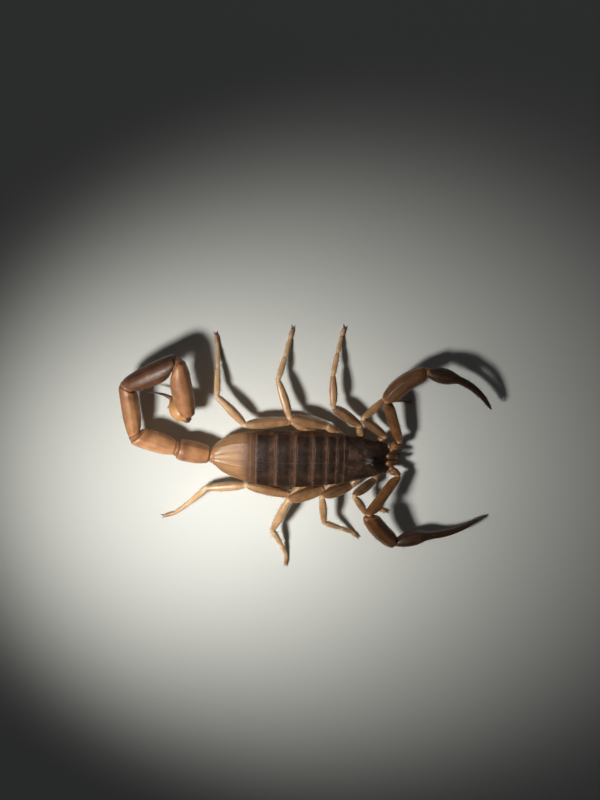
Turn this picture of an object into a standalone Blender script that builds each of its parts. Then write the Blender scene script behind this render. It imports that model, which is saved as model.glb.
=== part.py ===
"""A desert scorpion of the bark-scorpion kind as a still, life-size model.

The animal stands with its head towards +X, its left side towards +Y and the soles of its eight feet
on z = 0. The tail is carried to the left and curls clockwise, with the sting folded in against its
last segment. All sizes below are in millimetres and angles in degrees; MM turns the finished meshes
into metres.
"""

import math

import bmesh
import bpy
from mathutils import Matrix, Vector

MM = 0.001
CUT = 0.12  # the thin cut that parts two neighbouring pieces

# Trunk: the carapace in front, then seven body rings that end at the tail.
CARAPACE_FRONT = 11.0
CARAPACE_REAR = 5.1
CARAPACE_BASE = 2.25  # height of the carapace's lower rim
CARAPACE_RINGS = 14
CARAPACE_NOTCH = 0.3  # how far the middle of the front edge lies behind the carapace's front
CARAPACE_LIP = 0.8  # height of the front edge over the height a quarter of the way back
CARAPACE_LIP_WIDTH = 0.98  # the same for the widths
CARAPACE_ROUND = 4  # the front edge rises to its full height over one part in so many
RING_LENGTHS = (0.95, 1.3, 1.8, 2.4, 2.5, 2.65, 5.4)
WAIST = 2.45  # height at which a body ring is widest
RING_FULLNESS = 0.965  # a ring's size at its front margin over its size at the rear one
TRUNK_OUTLINE = (  # x, sideways sway, half width, top, bottom
    (CARAPACE_FRONT, 0.0, 1.9, 3.3, 2.0),
    (8.8, -0.05, 2.5, 3.75, 2.0),
    (CARAPACE_REAR, -0.2, 3.3, 3.95, 2.05),
    (2.9, -0.3, 3.55, 4.05, 2.05),
    (0.4, -0.4, 3.75, 4.15, 2.0),
    (-1.9, -0.42, 3.8, 4.15, 1.2),
    (-5.0, -0.38, 3.75, 4.1, 1.05),
    (-6.6, -0.3, 3.55, 4.0, 1.1),
    (-9.2, -0.12, 2.95, 3.85, 1.35),
    (-11.0, -0.1, 2.05, 3.7, 1.65),
    (-12.0, -0.1, 1.4, 3.5, 1.9),
)
TRUNK_SIDES = 20
TRUNK_SQUARENESS = 2.4  # exponent of the section: 2 is an ellipse

# Median eyes on their low mound, and the sockets that they sit in.
EYE_X = 8.85
EYE_Y = 0.33
EYE_Z = 3.98
EYE_RADIUS = 0.25
SOCKET_RADIUS = 0.29
MOUND_HEIGHT = 0.3
MOUND_SPREAD = 0.62

# Chelicerae: the two small jaws in front of the carapace.
JAW_ROOT = (11.1, 0.48, 2.75)
JAW_TIP = (12.55, 0.42, 2.45)
JAW_PROFILE = ((0, 0.5, 0.6), (0.2, 0.78, 0.95), (0.6, 0.8, 0.9), (0.85, 0.6, 0.6), (1, 0.4, 0.4))

# Legs, pair 1 to 4: the coxa's root and end, and the lengths of trochanter, femur, patella,
# tibia, basitarsus and tarsus.
COXA_ROOT = {1: (8.9, 0.9), 2: (7.4, 1.0), 3: (5.9, 1.0), 4: (4.4, 1.0)}
COXA_END = {1: (9.6, 1.95), 2: (7.3, 2.75), 3: (4.4, 3.15), 4: (0.4, 3.6)}
COXA_HEIGHT = 1.65
COXA_WIDTH = 1.25
COXA_DEPTH = 0.7
COXA_PROFILE = ((0, 0.7, 0.9), (0.3, 0.95, 1), (0.75, 1, 1), (1, 0.8, 0.9))
BREAST_FRONT = 11.2
BREAST_REAR = 2.4
BREAST_PROFILE = ((0, 2.2, 0.6), (0.12, 3.3, 0.7), (0.5, 3.4, 0.74), (0.9, 2.6, 0.72), (1, 1.8, 0.6))
LEG_LENGTHS = {
    1: (1.3, 3.9, 3.5, 1.8, 1.5, 1.2),
    2: (1.7, 4.5, 4.2, 2.8, 2.4, 1.2),
    3: (2.0, 5.2, 5.1, 3.0, 2.5, 1.6),
    4: (2.6, 6.1, 5.3, 3.5, 2.8, 1.75),
}
FEMUR_WIDTH = {1: 1.0, 2: 1.15, 3: 1.25, 4: 1.2}
PATELLA_WIDTH = {1: 0.85, 2: 0.9, 3: 1.0, 4: 1.0}
SOLE_HEIGHT = 0.15  # height of the tarsus's axis at its tip

# How thick a leg is along each of its lengths: share of the length, width and depth.
LEG_ROOT = ((0, 0.6, 0.65), (0.5, 0.78, 0.85), (0.9, 0.66, 0.75))
LEG_THIGH = ((0.1, 0.78, 0.9), (0.45, 1.0, 1.15), (0.8, 0.92, 1.05), (1, 0.55, 0.7))
LEG_KNEE = ((0, 0.6, 0.65), (0.15, 0.85, 1.0), (0.45, 1.0, 1.1), (0.8, 0.8, 0.9), (1, 0.55, 0.65))
LEG_SHIN = ((0, 0.56, 0.62), (0.3, 0.66, 0.72), (1, 0.56, 0.6))
LEG_ANKLE = ((0.3, 0.54, 0.56), (1, 0.5, 0.52))  # these two in millimetres
LEG_FOOT = ((0.35, 0.5, 0.5), (0.7, 0.5, 0.56), (1, 0.5, 0.56))

# How each leg is held: heading in plan and pitch of each of its lengths.
LEG_POSE = {
    "l1": ((57, 18), (138, 13), (44, -13), (-12, -35), (-12, -35), (-12, -12)),
    "r1": ((-105, 0), (-151, 41), (-61, -20), (-15, -54), (-15, -54), (-15, -10)),
    "l2": ((102, 10), (141, 13), (93, -5), (78, -27), (77, -27), (73, -11)),
    "r2": ((-130, 4), (-168, 32), (-85, -15), (-31, -31), (-33, -31), (-40, -11)),
    "l3": ((146, 5), (162, 15), (109, -6), (73, -26), (74, -26), (79, -9)),
    "r3": ((-140, 7), (-167, 19), (-114, -9), (-65, -27), (-69, -27), (-91, -8)),
    "l4": ((147, 4), (-177, 10), (134, 1), (90, -24), (92, -24), (100, -7)),
    "r4": ((-142, 5), (166, 8), (-172, -5), (-132, -17), (-136, -17), (-160, -8)),
}

# Pedipalps: lengths of trochanter, femur, patella and palm, then how each is held.
PALP_ROOT = (11.35, 1.35, 2.45)
PALP_LENGTHS = (1.35, 6.4, 6.4, 3.9)
PALP_WIDTHS = (1.2, 1.45, 2.15, 1.98)
PATELLA_BEND = {"l": 0.55, "r": 0.38}  # how far its middle stands outward of its joints
FINGER_WIDTH = 0.95
FINGER_TIP_WIDTH = 0.46
FINGER_STEPS = 5
FINGER_HEEL = 0.8  # width of the movable finger's heel over the finger's full width
FINGER_HEEL_DROP = 0.9  # how far that heel lies from the knuckle, over the spread there
FINGER_HEEL_BACK = 0.2
PALM_PROFILE = ((0, 0.5, 0.5), (0.3, 0.92, 0.95), (0.65, 1, 1))
PALP_PROFILES = {
    "trochanter": [((0, 0.7, 0.75), (0.5, 1.0, 1.0), (1, 0.8, 0.9))],
    "femur": [((0, 0.6, 0.7), (0.15, 0.85, 0.9), (0.6, 0.95, 1.0), (0.88, 1.0, 1.0), (1, 0.7, 0.8))],
    "patella": [((0, 0.55, 0.6), (0.3, 0.92, 0.9)), ((0, 1.0, 0.95), (0.7, 0.88, 0.85), (1, 0.6, 0.6))],
}
PALP_POSE = {
    "l": ((50, 3), (108, 13), (40, 4), (-14, -9)),
    "r": ((-50, 5), (-130, 28), (-52, -20), (12, -13)),
}

# Where the two fingers of each hand meet, how far they bow, and how far apart they are at the
# knuckle and at the tip.
FINGER_TIPS = {"l": (23.8, 7.2, 2.3), "r": (23.35, -8.55, 1.3)}
FINGER_BOW = {"l": (0.25, 0.5, 0.1), "r": (0.1, -0.6, 0.0)}
FINGER_SPREAD = {
    "l": ((0.35, 0.2, 0.95), (-0.05, 0.1, 0.55)),
    "r": ((0.1, 0.2, 0.95), (0.0, 0.1, 0.55)),
}

# Tail: lengths, widths, headings and pitches of its five segments, and how far each has rolled
# its back towards the inside of the curl.
TAIL_ROOT = (-12.15, -0.15, 2.75)
TAIL_LENGTHS = (4.55, 5.7, 7.0, 7.25, 7.8)
TAIL_WIDTHS = (2.85, 2.7, 2.38, 2.9, 2.8)
TAIL_POSE = ((167, 6), (160, 7), (97, 8), (29, 9), (-79, -8))
TAIL_ROLL = (10, 45, 75, 85, 90)
TAIL_TAPER = (1, 1, 1, 1, 0.86)  # width at the rear end over width at the middle
TAIL_END_TRIM = 0.75  # how far short of the bulb's hinge the last segment's shell stops
TAIL_END_SLANT = 0.65  # 0 cuts that end on the plane that bisects the hinge, more cuts it squarer
TAIL_SIDES = 16
VESICLE_DROP = (0.62, 0.5)  # how far past and below the last segment's end the bulb's hinge lies
VESICLE_POSE = (136, -35)
VESICLE_LENGTH = 4.15
VESICLE_WIDTH = 2.85
STING_LENGTH = 3.2
STING_WIDTH = 0.62
STING_TIP_WIDTH = 0.2
STING_PITCH = 2
STING_TURNS = (10, 22, 36, 50)  # how far the sting has curved away from the bulb's heading
TAIL_PROFILE = (
    (0, 0.6, 0.64), (0.06, 0.8, 0.84), (0.4, 0.96, 0.96), (0.85, 1.0, 1.0), (0.95, 0.95, 0.93),
    (1, 0.68, 0.68),
)
VESICLE_PROFILE = (
    (0.0, 0.3, 0.3), (0.15, 0.5, 0.5), (0.3, 0.86, 0.86), (0.5, 1.0, 1.0), (0.7, 0.92, 0.95),
    (0.88, 0.6, 0.66), (1, 0.32, 0.32),
)

# Pectines: the two combs under the second body ring.
PECTINE_ROOT = (2.2, 1.25)
PECTINE_BASE = 0.6  # height of its underside
PECTINE_LENGTH = 4.0
PECTINE_HEADING = 141
PECTINE_TEETH = 18
PECTINE_BREADTH = 1.3  # at the root, teeth included
PECTINE_TAPER = 0.55  # breadth at the tip over breadth at the root
PECTINE_TOOTH = 0.3  # how deep the gaps between the teeth are
PECTINE_BOW = 0.1  # how far the front edge bulges
PECTINE_THICKNESS = 0.5

SIGN = {"l": 1, "r": -1}
UP = Vector((0, 0, 1))

STRAW = (0.62, 0.42, 0.2)
TAN = (0.55, 0.33, 0.15)
RUST = (0.38, 0.2, 0.09)
DUSK = (0.13, 0.08, 0.05)
JET = (0.01, 0.01, 0.012)


def heading(azimuth, pitch):
    """Unit vector for a compass heading in plan, counted from +X towards +Y, and a pitch."""
    a, p = math.radians(azimuth), math.radians(pitch)
    return Vector((math.cos(p) * math.cos(a), math.cos(p) * math.sin(a), math.sin(p)))


def chain(root, lengths, pose):
    """The joints of a limb that starts at root."""
    joints = [Vector(root)]
    for length, held in zip(lengths, pose):
        joints.append(joints[-1] + heading(*held) * length)
    return joints


def drum(sides, rings):
    """A capped drum along +Z of radius 1, whose rings lie one unit apart from z = 0."""
    bm = bmesh.new()
    bmesh.ops.create_cone(
        bm, cap_ends=True, segments=sides, radius1=1, radius2=1, depth=rings - 1
    )
    bmesh.ops.translate(bm, verts=bm.verts, vec=(0, 0, (rings - 1) / 2))
    staves = [e for e in bm.edges if abs(e.verts[0].co.z - e.verts[1].co.z) > 0.5]
    bmesh.ops.subdivide_edges(bm, edges=staves, cuts=rings - 2)
    return bm


def faced_out(bm):
    """The mesh with its faces pointing outwards."""
    if bm.calc_volume(signed=True) < 0:
        bmesh.ops.reverse_faces(bm, faces=bm.faces)
    return bm


def shape_drum(sides, rings, place, turn=0.0):
    """A drum whose points are moved to place(ring, angle)."""
    bm = drum(sides, rings)
    for vert in bm.verts:
        angle = math.atan2(vert.co.y, vert.co.x) + turn
        vert.co = place(round(vert.co.z), angle)
    return faced_out(bm)


def finish(bm, name, colour, roughness, collection):
    """The object for a mesh in millimetres, with a material of its own."""
    bmesh.ops.transform(bm, matrix=Matrix.Scale(MM, 4), verts=bm.verts)
    mesh = bpy.data.meshes.new(name)
    bm.to_mesh(mesh)
    bm.free()
    mesh.shade_smooth()
    mesh.set_sharp_from_angle(angle=math.radians(50))
    material = bpy.data.materials.new(name)
    material.use_nodes = True
    shader = material.node_tree.nodes["Principled BSDF"]
    shader.inputs["Base Color"].default_value = (*colour, 1)
    shader.inputs["Roughness"].default_value = roughness
    shader.inputs["Metallic"].default_value = 0
    mesh.materials.append(material)
    obj = bpy.data.objects.new(name, mesh)
    collection.objects.link(obj)
    return obj


def mitre(before, along, after):
    """Normals of the planes that a length is cut on at its two ends."""
    first = along if before is None else (before + along).normalized()
    last = along if after is None else (along + after).normalized()
    return first, last


def keel_free(angle):
    """Plain oval section."""
    return 1.0


def keeled(angle):
    """Section with eight low keels."""
    return 1.0 + 0.05 * math.cos(8 * angle)


def limb(joints, profiles, up, before=None, after=None, sides=8, section=keel_free, floor=None):
    """A limb lofted along straight lengths, cut on the bisecting plane at every joint.

    Each profile lists (share of the length, width, depth) for one length. The ends stand half a
    cut back from their joints, and no point goes lower than the floor.
    """
    rows = []
    for i, profile in enumerate(profiles):
        start, end = joints[i], joints[i + 1]
        along = (end - start).normalized()
        ahead = after if i == len(profiles) - 1 else (joints[i + 2] - end).normalized()
        behind = before if i == 0 else (start - joints[i - 1]).normalized()
        planes = mitre(behind, along, ahead)
        back = CUT / 2 if i == 0 else 0
        short = CUT / 2 if i == len(profiles) - 1 else 0
        for share, width, depth in profile:
            rows.append((start, end, along, planes, back, short, share, width, depth))

    def place(ring, angle):
        start, end, along, planes, back, short, share, width, depth = rows[ring]
        side = along.cross(up).normalized()
        over = side.cross(along)
        swell = section(angle)
        offset = side * (math.cos(angle) * swell * width / 2)
        offset += over * (math.sin(angle) * swell * depth / 2)
        low = back - offset.dot(planes[0]) / along.dot(planes[0])
        high = (end - start).length - short - offset.dot(planes[1]) / along.dot(planes[1])
        point = start + offset + along * (low + share * (high - low))
        if floor is not None:
            point.z = max(point.z, floor)
        return point

    return shape_drum(sides, len(rows), place, turn=math.pi / sides)


def trunk_at(x):
    """Sway, half width, top and bottom of the trunk at a place along it."""
    for ahead, behind in zip(TRUNK_OUTLINE, TRUNK_OUTLINE[1:]):
        if x >= behind[0]:
            share = (x - behind[0]) / (ahead[0] - behind[0])
            return [b + (a - b) * share for a, b in zip(ahead[1:], behind[1:])]
    return TRUNK_OUTLINE[-1][1:]


def rounded(angle):
    """Point of the squared oval that the trunk's sections follow."""
    c, s = math.cos(angle), math.sin(angle)
    power = 2 / TRUNK_SQUARENESS
    return math.copysign(abs(c) ** power, c), math.copysign(abs(s) ** power, s)


def body_ring(front, rear, rings):
    """One ring of the trunk, a little fuller at its rear margin."""

    def place(ring, angle):
        share = ring / (rings - 1)
        x = front - CUT / 2 + share * (rear - front + CUT)
        sway, half_width, top, bottom = trunk_at(x)
        fullness = RING_FULLNESS + (1 - RING_FULLNESS) * min(1.0, 2 * share)
        across, rise = rounded(angle)
        height = top - WAIST if rise > 0 else WAIST - bottom
        y = sway + across * half_width * fullness
        return Vector((x, y, WAIST + rise * height * fullness))

    return shape_drum(TRUNK_SIDES, rings, place)


def mound(x, y):
    """Rise of the eye mound above the carapace."""
    return MOUND_HEIGHT * math.exp(-((x - EYE_X) ** 2 + y**2) / MOUND_SPREAD**2)


def carapace():
    """The domed head shield with its flat lower rim, a shallow notch in front and the eye mound."""
    length = CARAPACE_FRONT - CARAPACE_REAR - CUT

    def place(ring, angle):
        share = ring / (CARAPACE_RINGS - 1)
        x = CARAPACE_FRONT - share * length
        sway, half_width, top, _ = trunk_at(x)
        across, rise = rounded(angle)
        behind = min(1.0, CARAPACE_ROUND * share)
        lip_height = CARAPACE_LIP + (1 - CARAPACE_LIP) * behind
        lip_width = CARAPACE_LIP_WIDTH + (1 - CARAPACE_LIP_WIDTH) * behind
        y = sway + across * half_width * lip_width
        z = CARAPACE_BASE + CUT / 2
        if rise > 0:
            z += rise * (top - CARAPACE_BASE) * lip_height + mound(x, y)
        if ring == 0:
            x -= CARAPACE_NOTCH * (1 - across**2)
        return Vector((x, y, z))

    return shape_drum(TRUNK_SIDES, CARAPACE_RINGS, place)


def sphere(centre, radius):
    """A ball round a centre."""
    bm = bmesh.new()
    bmesh.ops.create_uvsphere(bm, u_segments=12, v_segments=8, radius=radius)
    bmesh.ops.translate(bm, verts=bm.verts, vec=centre)
    return bm


def join(obj, tool, operation):
    """Cuts tool from obj, or joins it on."""
    boolean = obj.modifiers.new(f"{operation.lower()} {tool.name}", "BOOLEAN")
    boolean.operation = operation
    boolean.object = tool
    tool.hide_render = True
    tool.display_type = "WIRE"


def add_head(parts, tools):
    """The carapace with its two large eyes, and the jaws."""
    shield = finish(carapace(), "carapace", DUSK, 0.4, parts)
    for side, sign in SIGN.items():
        centre = Vector((EYE_X, sign * EYE_Y, EYE_Z))
        socket = finish(sphere(centre, SOCKET_RADIUS), f"eye_socket_{side}", DUSK, 0.4, tools)
        join(shield, socket, "DIFFERENCE")
        finish(sphere(centre, EYE_RADIUS), f"eye_{side}", JET, 0.1, parts)
        jaw = [Vector((x, sign * y, z)) for x, y, z in (JAW_ROOT, JAW_TIP)]
        finish(limb(jaw, [JAW_PROFILE], UP), f"chelicera_{side}", STRAW, 0.4, parts)


def hip(spot, sign):
    """A point on one side of the underside, which sways with the trunk."""
    x, y = spot
    return Vector((x, trunk_at(x)[0] + sign * y, COXA_HEIGHT))


def leg_joints(side, number):
    """All joints of a leg from the coxa's root to the tip of its foot, and the way of each length."""
    root = hip(COXA_ROOT[number], SIGN[side])
    end = hip(COXA_END[number], SIGN[side])
    joints = [root, *chain(end, LEG_LENGTHS[number], LEG_POSE[side + str(number)])]
    joints[-1].z = SOLE_HEIGHT
    ways = [(b - a).normalized() for a, b in zip(joints, joints[1:])]
    return joints, ways


def sized(profile, width, depth=None):
    """A profile of shares turned into millimetres."""
    return [(t, w * width, d * (depth or width)) for t, w, d in profile]


def coxa(side, number):
    """The fixed first length of a leg, which lies under the carapace."""
    joints, ways = leg_joints(side, number)
    return limb(joints[:2], [sized(COXA_PROFILE, COXA_WIDTH, COXA_DEPTH)], UP, after=ways[1])


def breast_plate():
    """The middle of the underside, from the mouth to the genital plate."""
    joints = [Vector((x, trunk_at(x)[0], COXA_HEIGHT)) for x in (BREAST_FRONT, BREAST_REAR)]
    return limb(joints, [BREAST_PROFILE], UP, sides=12)


def add_underside(parts, tools):
    """The breast plate with all eight coxae joined to it, and the two combs."""
    plate = finish(breast_plate(), "coxosternum", TAN, 0.45, parts)
    for side, sign in SIGN.items():
        for number in COXA_ROOT:
            piece = finish(coxa(side, number), f"coxa_{side}{number}", TAN, 0.45, tools)
            join(plate, piece, "UNION")
        finish(pectine(sign), f"pectine_{side}", STRAW, 0.5, parts)


def pectine(sign):
    """A flat comb that sweeps outwards and back, with its teeth along the rear edge."""
    along = heading(PECTINE_HEADING, 0)
    rearward = heading(PECTINE_HEADING + 90, 0)
    columns = 2 * PECTINE_TEETH + 1
    bm = bmesh.new()
    bmesh.ops.create_grid(bm, x_segments=columns - 1, y_segments=1, size=0.5)
    for vert in bm.verts:
        column = round((vert.co.x + 0.5) * (columns - 1))
        share = column / (columns - 1)
        if vert.co.y > 0:
            reach = -PECTINE_BOW * math.sin(math.pi * share)
        else:
            breadth = PECTINE_BREADTH * (1 - (1 - PECTINE_TAPER) * share)
            reach = breadth - PECTINE_TOOTH * (column % 2)
        point = Vector((*PECTINE_ROOT, 0)) + along * share * PECTINE_LENGTH + rearward * reach
        vert.co = (point.x, sign * point.y, point.z)
    bmesh.ops.solidify(bm, geom=bm.faces[:], thickness=PECTINE_THICKNESS)
    lowest = min(vert.co.z for vert in bm.verts)
    bmesh.ops.translate(bm, verts=bm.verts, vec=(0, 0, PECTINE_BASE - lowest))
    return faced_out(bm)


def add_trunk(parts):
    """The seven body rings."""
    front = CARAPACE_REAR
    for number, length in enumerate(RING_LENGTHS, start=1):
        rings = 7 if number == 7 else 3
        colour = TAN if number == 7 else DUSK
        ring = body_ring(front, front - length, rings)
        finish(ring, f"mesosoma_{number}", colour, 0.45, parts)
        front -= length


def add_leg(side, number, parts):
    """Femur with its trochanter, patella, and the shank with its foot."""
    name = side + str(number)
    joints, ways = leg_joints(side, number)
    femur, patella = FEMUR_WIDTH[number], PATELLA_WIDTH[number]
    thigh = [sized(LEG_ROOT, femur), sized(LEG_THIGH, femur)]
    bm = limb(joints[1:4], thigh, UP, before=ways[0], after=ways[3])
    finish(bm, f"femur_{name}", STRAW, 0.4, parts)
    bm = limb(joints[3:5], [sized(LEG_KNEE, patella)], UP, before=ways[2], after=ways[4])
    finish(bm, f"patella_{name}", STRAW, 0.4, parts)
    shank = [sized(LEG_SHIN, patella), LEG_ANKLE, LEG_FOOT]
    bm = limb(joints[4:], shank, UP, before=ways[3], floor=0.0)
    finish(bm, f"shank_{name}", STRAW, 0.4, parts)


def bowed(start, end, bow):
    """Points of a shallow arc from start to end."""
    shares = [k / FINGER_STEPS for k in range(FINGER_STEPS + 1)]
    return [start.lerp(end, t) + bow * (4 * t * (1 - t)) for t in shares]


def tapered(first, last, steps):
    """The profiles of a round limb of several short lengths that narrows evenly."""
    widths = [first + (last - first) * k / steps for k in range(steps + 1)]
    profiles = [[(0, width, width)] for width in widths[:-1]]
    profiles[-1].append((1, last, last))
    return profiles


def finger_profiles(heel):
    """The taper of a finger whose heel is as wide as this share of its full width."""
    profiles = tapered(FINGER_WIDTH, FINGER_TIP_WIDTH, FINGER_STEPS)
    profiles[0] = [(0, heel * FINGER_WIDTH, heel * FINGER_WIDTH)]
    return profiles


def add_palp(side, parts):
    """Trochanter, femur, patella, palm with the fixed finger, and the movable finger."""
    root = (PALP_ROOT[0], SIGN[side] * PALP_ROOT[1], PALP_ROOT[2])
    joints = chain(root, PALP_LENGTHS, PALP_POSE[side])
    outward = heading(PALP_POSE[side][2][0] + 90 * SIGN[side], 0)
    joints.insert(3, joints[2].lerp(joints[3], 0.5) + outward * PATELLA_BEND[side])
    ways = [(b - a).normalized() for a, b in zip(joints, joints[1:])]
    for i, (part, profiles) in enumerate(PALP_PROFILES.items()):
        last = i + len(profiles)
        arm = [sized(profile, PALP_WIDTHS[i]) for profile in profiles]
        before = ways[i - 1] if i else None
        bm = limb(joints[i : last + 1], arm, UP, before=before, after=ways[last])
        finish(bm, f"palp_{part}_{side}", TAN, 0.4, parts)

    wrist, knuckle = joints[4:]
    spread, tip_spread = (Vector(v) for v in FINGER_SPREAD[side])
    tip, bow = Vector(FINGER_TIPS[side]), Vector(FINGER_BOW[side])
    fixed = bowed(knuckle + spread / 2, tip + tip_spread / 2, bow)
    palm = sized(PALM_PROFILE, PALP_WIDTHS[3])
    bm = limb([wrist, *fixed], [palm, *finger_profiles(1.0)], UP, before=ways[3])
    finish(bm, f"palp_palm_{side}", RUST, 0.4, parts)
    heel = knuckle - spread * FINGER_HEEL_DROP - ways[4] * FINGER_HEEL_BACK
    moving = bowed(heel, tip - tip_spread / 2, bow)
    finish(limb(moving, finger_profiles(FINGER_HEEL), UP), f"palp_finger_{side}", RUST, 0.4, parts)


def tail_up(way, roll):
    """The direction of a tail segment's back, rolled towards the inside of the curl."""
    inward = way.cross(UP).normalized()
    level_up = inward.cross(way)
    r = math.radians(roll)
    return level_up * math.cos(r) + inward * math.sin(r)


def add_tail(parts):
    """The five tail segments, the sting's bulb and the sting."""
    joints = chain(TAIL_ROOT, TAIL_LENGTHS, TAIL_POSE)
    bulb_way = heading(*VESICLE_POSE)
    sting_ways = [heading(VESICLE_POSE[0] + turn, STING_PITCH) for turn in STING_TURNS]
    ways = [heading(*held) for held in TAIL_POSE]
    bulb_root = joints[5] + ways[4] * VESICLE_DROP[0] - UP * VESICLE_DROP[1]
    joints[5] -= ways[4] * TAIL_END_TRIM
    ways.append((bulb_way + ways[4] * TAIL_END_SLANT).normalized())
    for i, width in enumerate(TAIL_WIDTHS):
        profile = [(t, w * (1 + (TAIL_TAPER[i] - 1) * t), d) for t, w, d in TAIL_PROFILE]
        before = ways[i - 1] if i else None
        back = tail_up(ways[i], TAIL_ROLL[i])
        bm = limb(
            joints[i : i + 2], [sized(profile, width)], back, before, ways[i + 1],
            sides=TAIL_SIDES, section=keeled,
        )
        finish(bm, f"metasoma_{i + 1}", TAN, 0.4, parts)

    bulb_end = bulb_root + bulb_way * VESICLE_LENGTH
    bulb = [sized(VESICLE_PROFILE, VESICLE_WIDTH)]
    back = tail_up(bulb_way, TAIL_ROLL[4])
    bm = limb([bulb_root, bulb_end], bulb, back, after=sting_ways[0], sides=12)
    finish(bm, "telson_vesicle", TAN, 0.3, parts)
    sting = [bulb_end]
    for way in sting_ways:
        sting.append(sting[-1] + way * (STING_LENGTH / len(sting_ways)))
    profiles = tapered(STING_WIDTH, STING_TIP_WIDTH, len(sting_ways))
    finish(limb(sting, profiles, UP, before=bulb_way), "aculeus", RUST, 0.25, parts)


def main():
    for obj in list(bpy.data.objects):
        bpy.data.objects.remove(obj)
    parts = bpy.data.collections.new("desert_scorpion")
    tools = bpy.data.collections.new("joined_and_cut_shapes")
    for collection in (parts, tools):
        bpy.context.scene.collection.children.link(collection)
    add_head(parts, tools)
    add_underside(parts, tools)
    add_trunk(parts)
    for side in SIGN:
        for number in LEG_LENGTHS:
            add_leg(side, number, parts)
        add_palp(side, parts)
    add_tail(parts)


main()
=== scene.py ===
"""A desert scorpion of the bark-scorpion kind as a still, life-size model: its surfaces and finish.

The animal stands with its head towards +X, its left side towards +Y and its soles on z = 0. Sizes
are in millimetres until a piece is finished, which turns it into metres.
"""

import math
import random

import bmesh
import bpy
from mathutils import Matrix, Vector, noise


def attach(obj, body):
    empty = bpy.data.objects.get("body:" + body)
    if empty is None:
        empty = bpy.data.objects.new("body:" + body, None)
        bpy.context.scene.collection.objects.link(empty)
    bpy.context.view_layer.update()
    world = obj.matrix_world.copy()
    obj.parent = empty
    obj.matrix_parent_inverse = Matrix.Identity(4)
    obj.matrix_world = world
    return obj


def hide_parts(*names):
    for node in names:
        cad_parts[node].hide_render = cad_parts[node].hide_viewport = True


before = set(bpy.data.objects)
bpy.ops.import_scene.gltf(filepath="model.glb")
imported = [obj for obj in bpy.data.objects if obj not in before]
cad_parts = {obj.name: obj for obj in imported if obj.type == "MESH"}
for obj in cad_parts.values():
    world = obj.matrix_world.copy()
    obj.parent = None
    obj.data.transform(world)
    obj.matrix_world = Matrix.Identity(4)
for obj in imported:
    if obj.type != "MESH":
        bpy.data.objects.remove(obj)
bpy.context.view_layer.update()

# ---------------------------------------------------------------------------------------------
# The table and the studio: a plain pale table top, one soft lamp above the curl of the tail whose
# beam fades towards the claws, two large weak ones and a pale sky. The camera looks down on the back.
# ---------------------------------------------------------------------------------------------
MM = 0.001
TABLE_SIDE = 1.6
TABLE_COLOUR = (0.62, 0.635, 0.61)
TABLE_CLOUDING = 0.04
LAMP_TARGET = (-0.006, -0.006, 0.0)
LAMPS = {  # place, side, watts, spread of the beam in degrees, colour
    "main_lamp": ((-0.052, -0.009, 0.085), 0.016, 0.0118, 52, (1.0, 0.975, 0.93)),
    "fill_lamp": ((0.22, 0.26, 0.3), 0.3, 0.022, 180, (0.95, 0.97, 1.0)),
    "top_lamp": ((-0.12, 0.3, 0.42), 0.3, 0.042, 180, (1.0, 1.0, 1.0)),
}
SKY_COLOUR = (0.82, 0.85, 0.88)
SKY_STRENGTH = 0.024
CAMERA_PLACE = (-0.00253, 0.06963, 0.19321)
CAMERA_BACK = (-0.00863, 0.30890, 0.95106)
CAMERA_UP = (-0.02656, 0.95069, -0.30902)
CAMERA_LENS = 70.2


def feed(tree, node, inputs):
    """Sets or links the inputs of a node, by their names or numbers."""
    for name, value in inputs.items():
        if isinstance(value, bpy.types.NodeSocket):
            tree.links.new(value, node.inputs[name])
        else:
            node.inputs[name].default_value = value


def shader_node(tree, kind, inputs, **settings):
    """A node of this kind, with its own settings and its inputs fed."""
    node = tree.nodes.new("ShaderNode" + kind)
    for name, value in settings.items():
        setattr(node, name, value)
    feed(tree, node, inputs)
    return node


def millimetres(tree):
    """Object coordinates counted in millimetres."""
    place = shader_node(tree, "TexCoord", {}).outputs["Object"]
    return shader_node(tree, "Mapping", {"Vector": place, "Scale": (1 / MM,) * 3}).outputs["Vector"]


def toned(tree, factor, tones, interpolation="LINEAR"):
    """A colour that runs through these tones, each of them (factor, colour)."""
    ramp = shader_node(tree, "ValToRGB", {"Fac": factor})
    ramp.color_ramp.interpolation = interpolation
    elements = ramp.color_ramp.elements
    while len(elements) < len(tones):
        elements.new(0.5)
    for element, (position, colour) in zip(elements, tones):
        element.position = position
        element.color = (*colour, 1)
    return ramp.outputs["Color"]


def new_material(name):
    """A material, its node tree and its shader."""
    material = bpy.data.materials.new(name)
    material.use_nodes = True
    return material, material.node_tree, material.node_tree.nodes["Principled BSDF"]


def table_material():
    """Matt off-white, very slightly clouded."""
    material, tree, shader = new_material("pale_table")
    cloud = shader_node(tree, "TexNoise", {"Vector": millimetres(tree), "Scale": 0.03, "Detail": 3})
    tones = [
        (place, [c * (1 + shift) for c in TABLE_COLOUR])
        for place, shift in ((0, -TABLE_CLOUDING), (1, TABLE_CLOUDING))
    ]
    feed(tree, shader, {"Base Color": toned(tree, cloud.outputs["Fac"], tones), "Roughness": 0.85})
    return material


table_mesh = bmesh.new()
bmesh.ops.create_grid(table_mesh, x_segments=2, y_segments=2, size=TABLE_SIDE / 2)
table_data = bpy.data.meshes.new("table_top")
table_mesh.to_mesh(table_data)
table_mesh.free()
table_data.materials.append(table_material())
table_top = bpy.data.objects.new("table_top", table_data)
bpy.context.scene.collection.objects.link(table_top)

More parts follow.
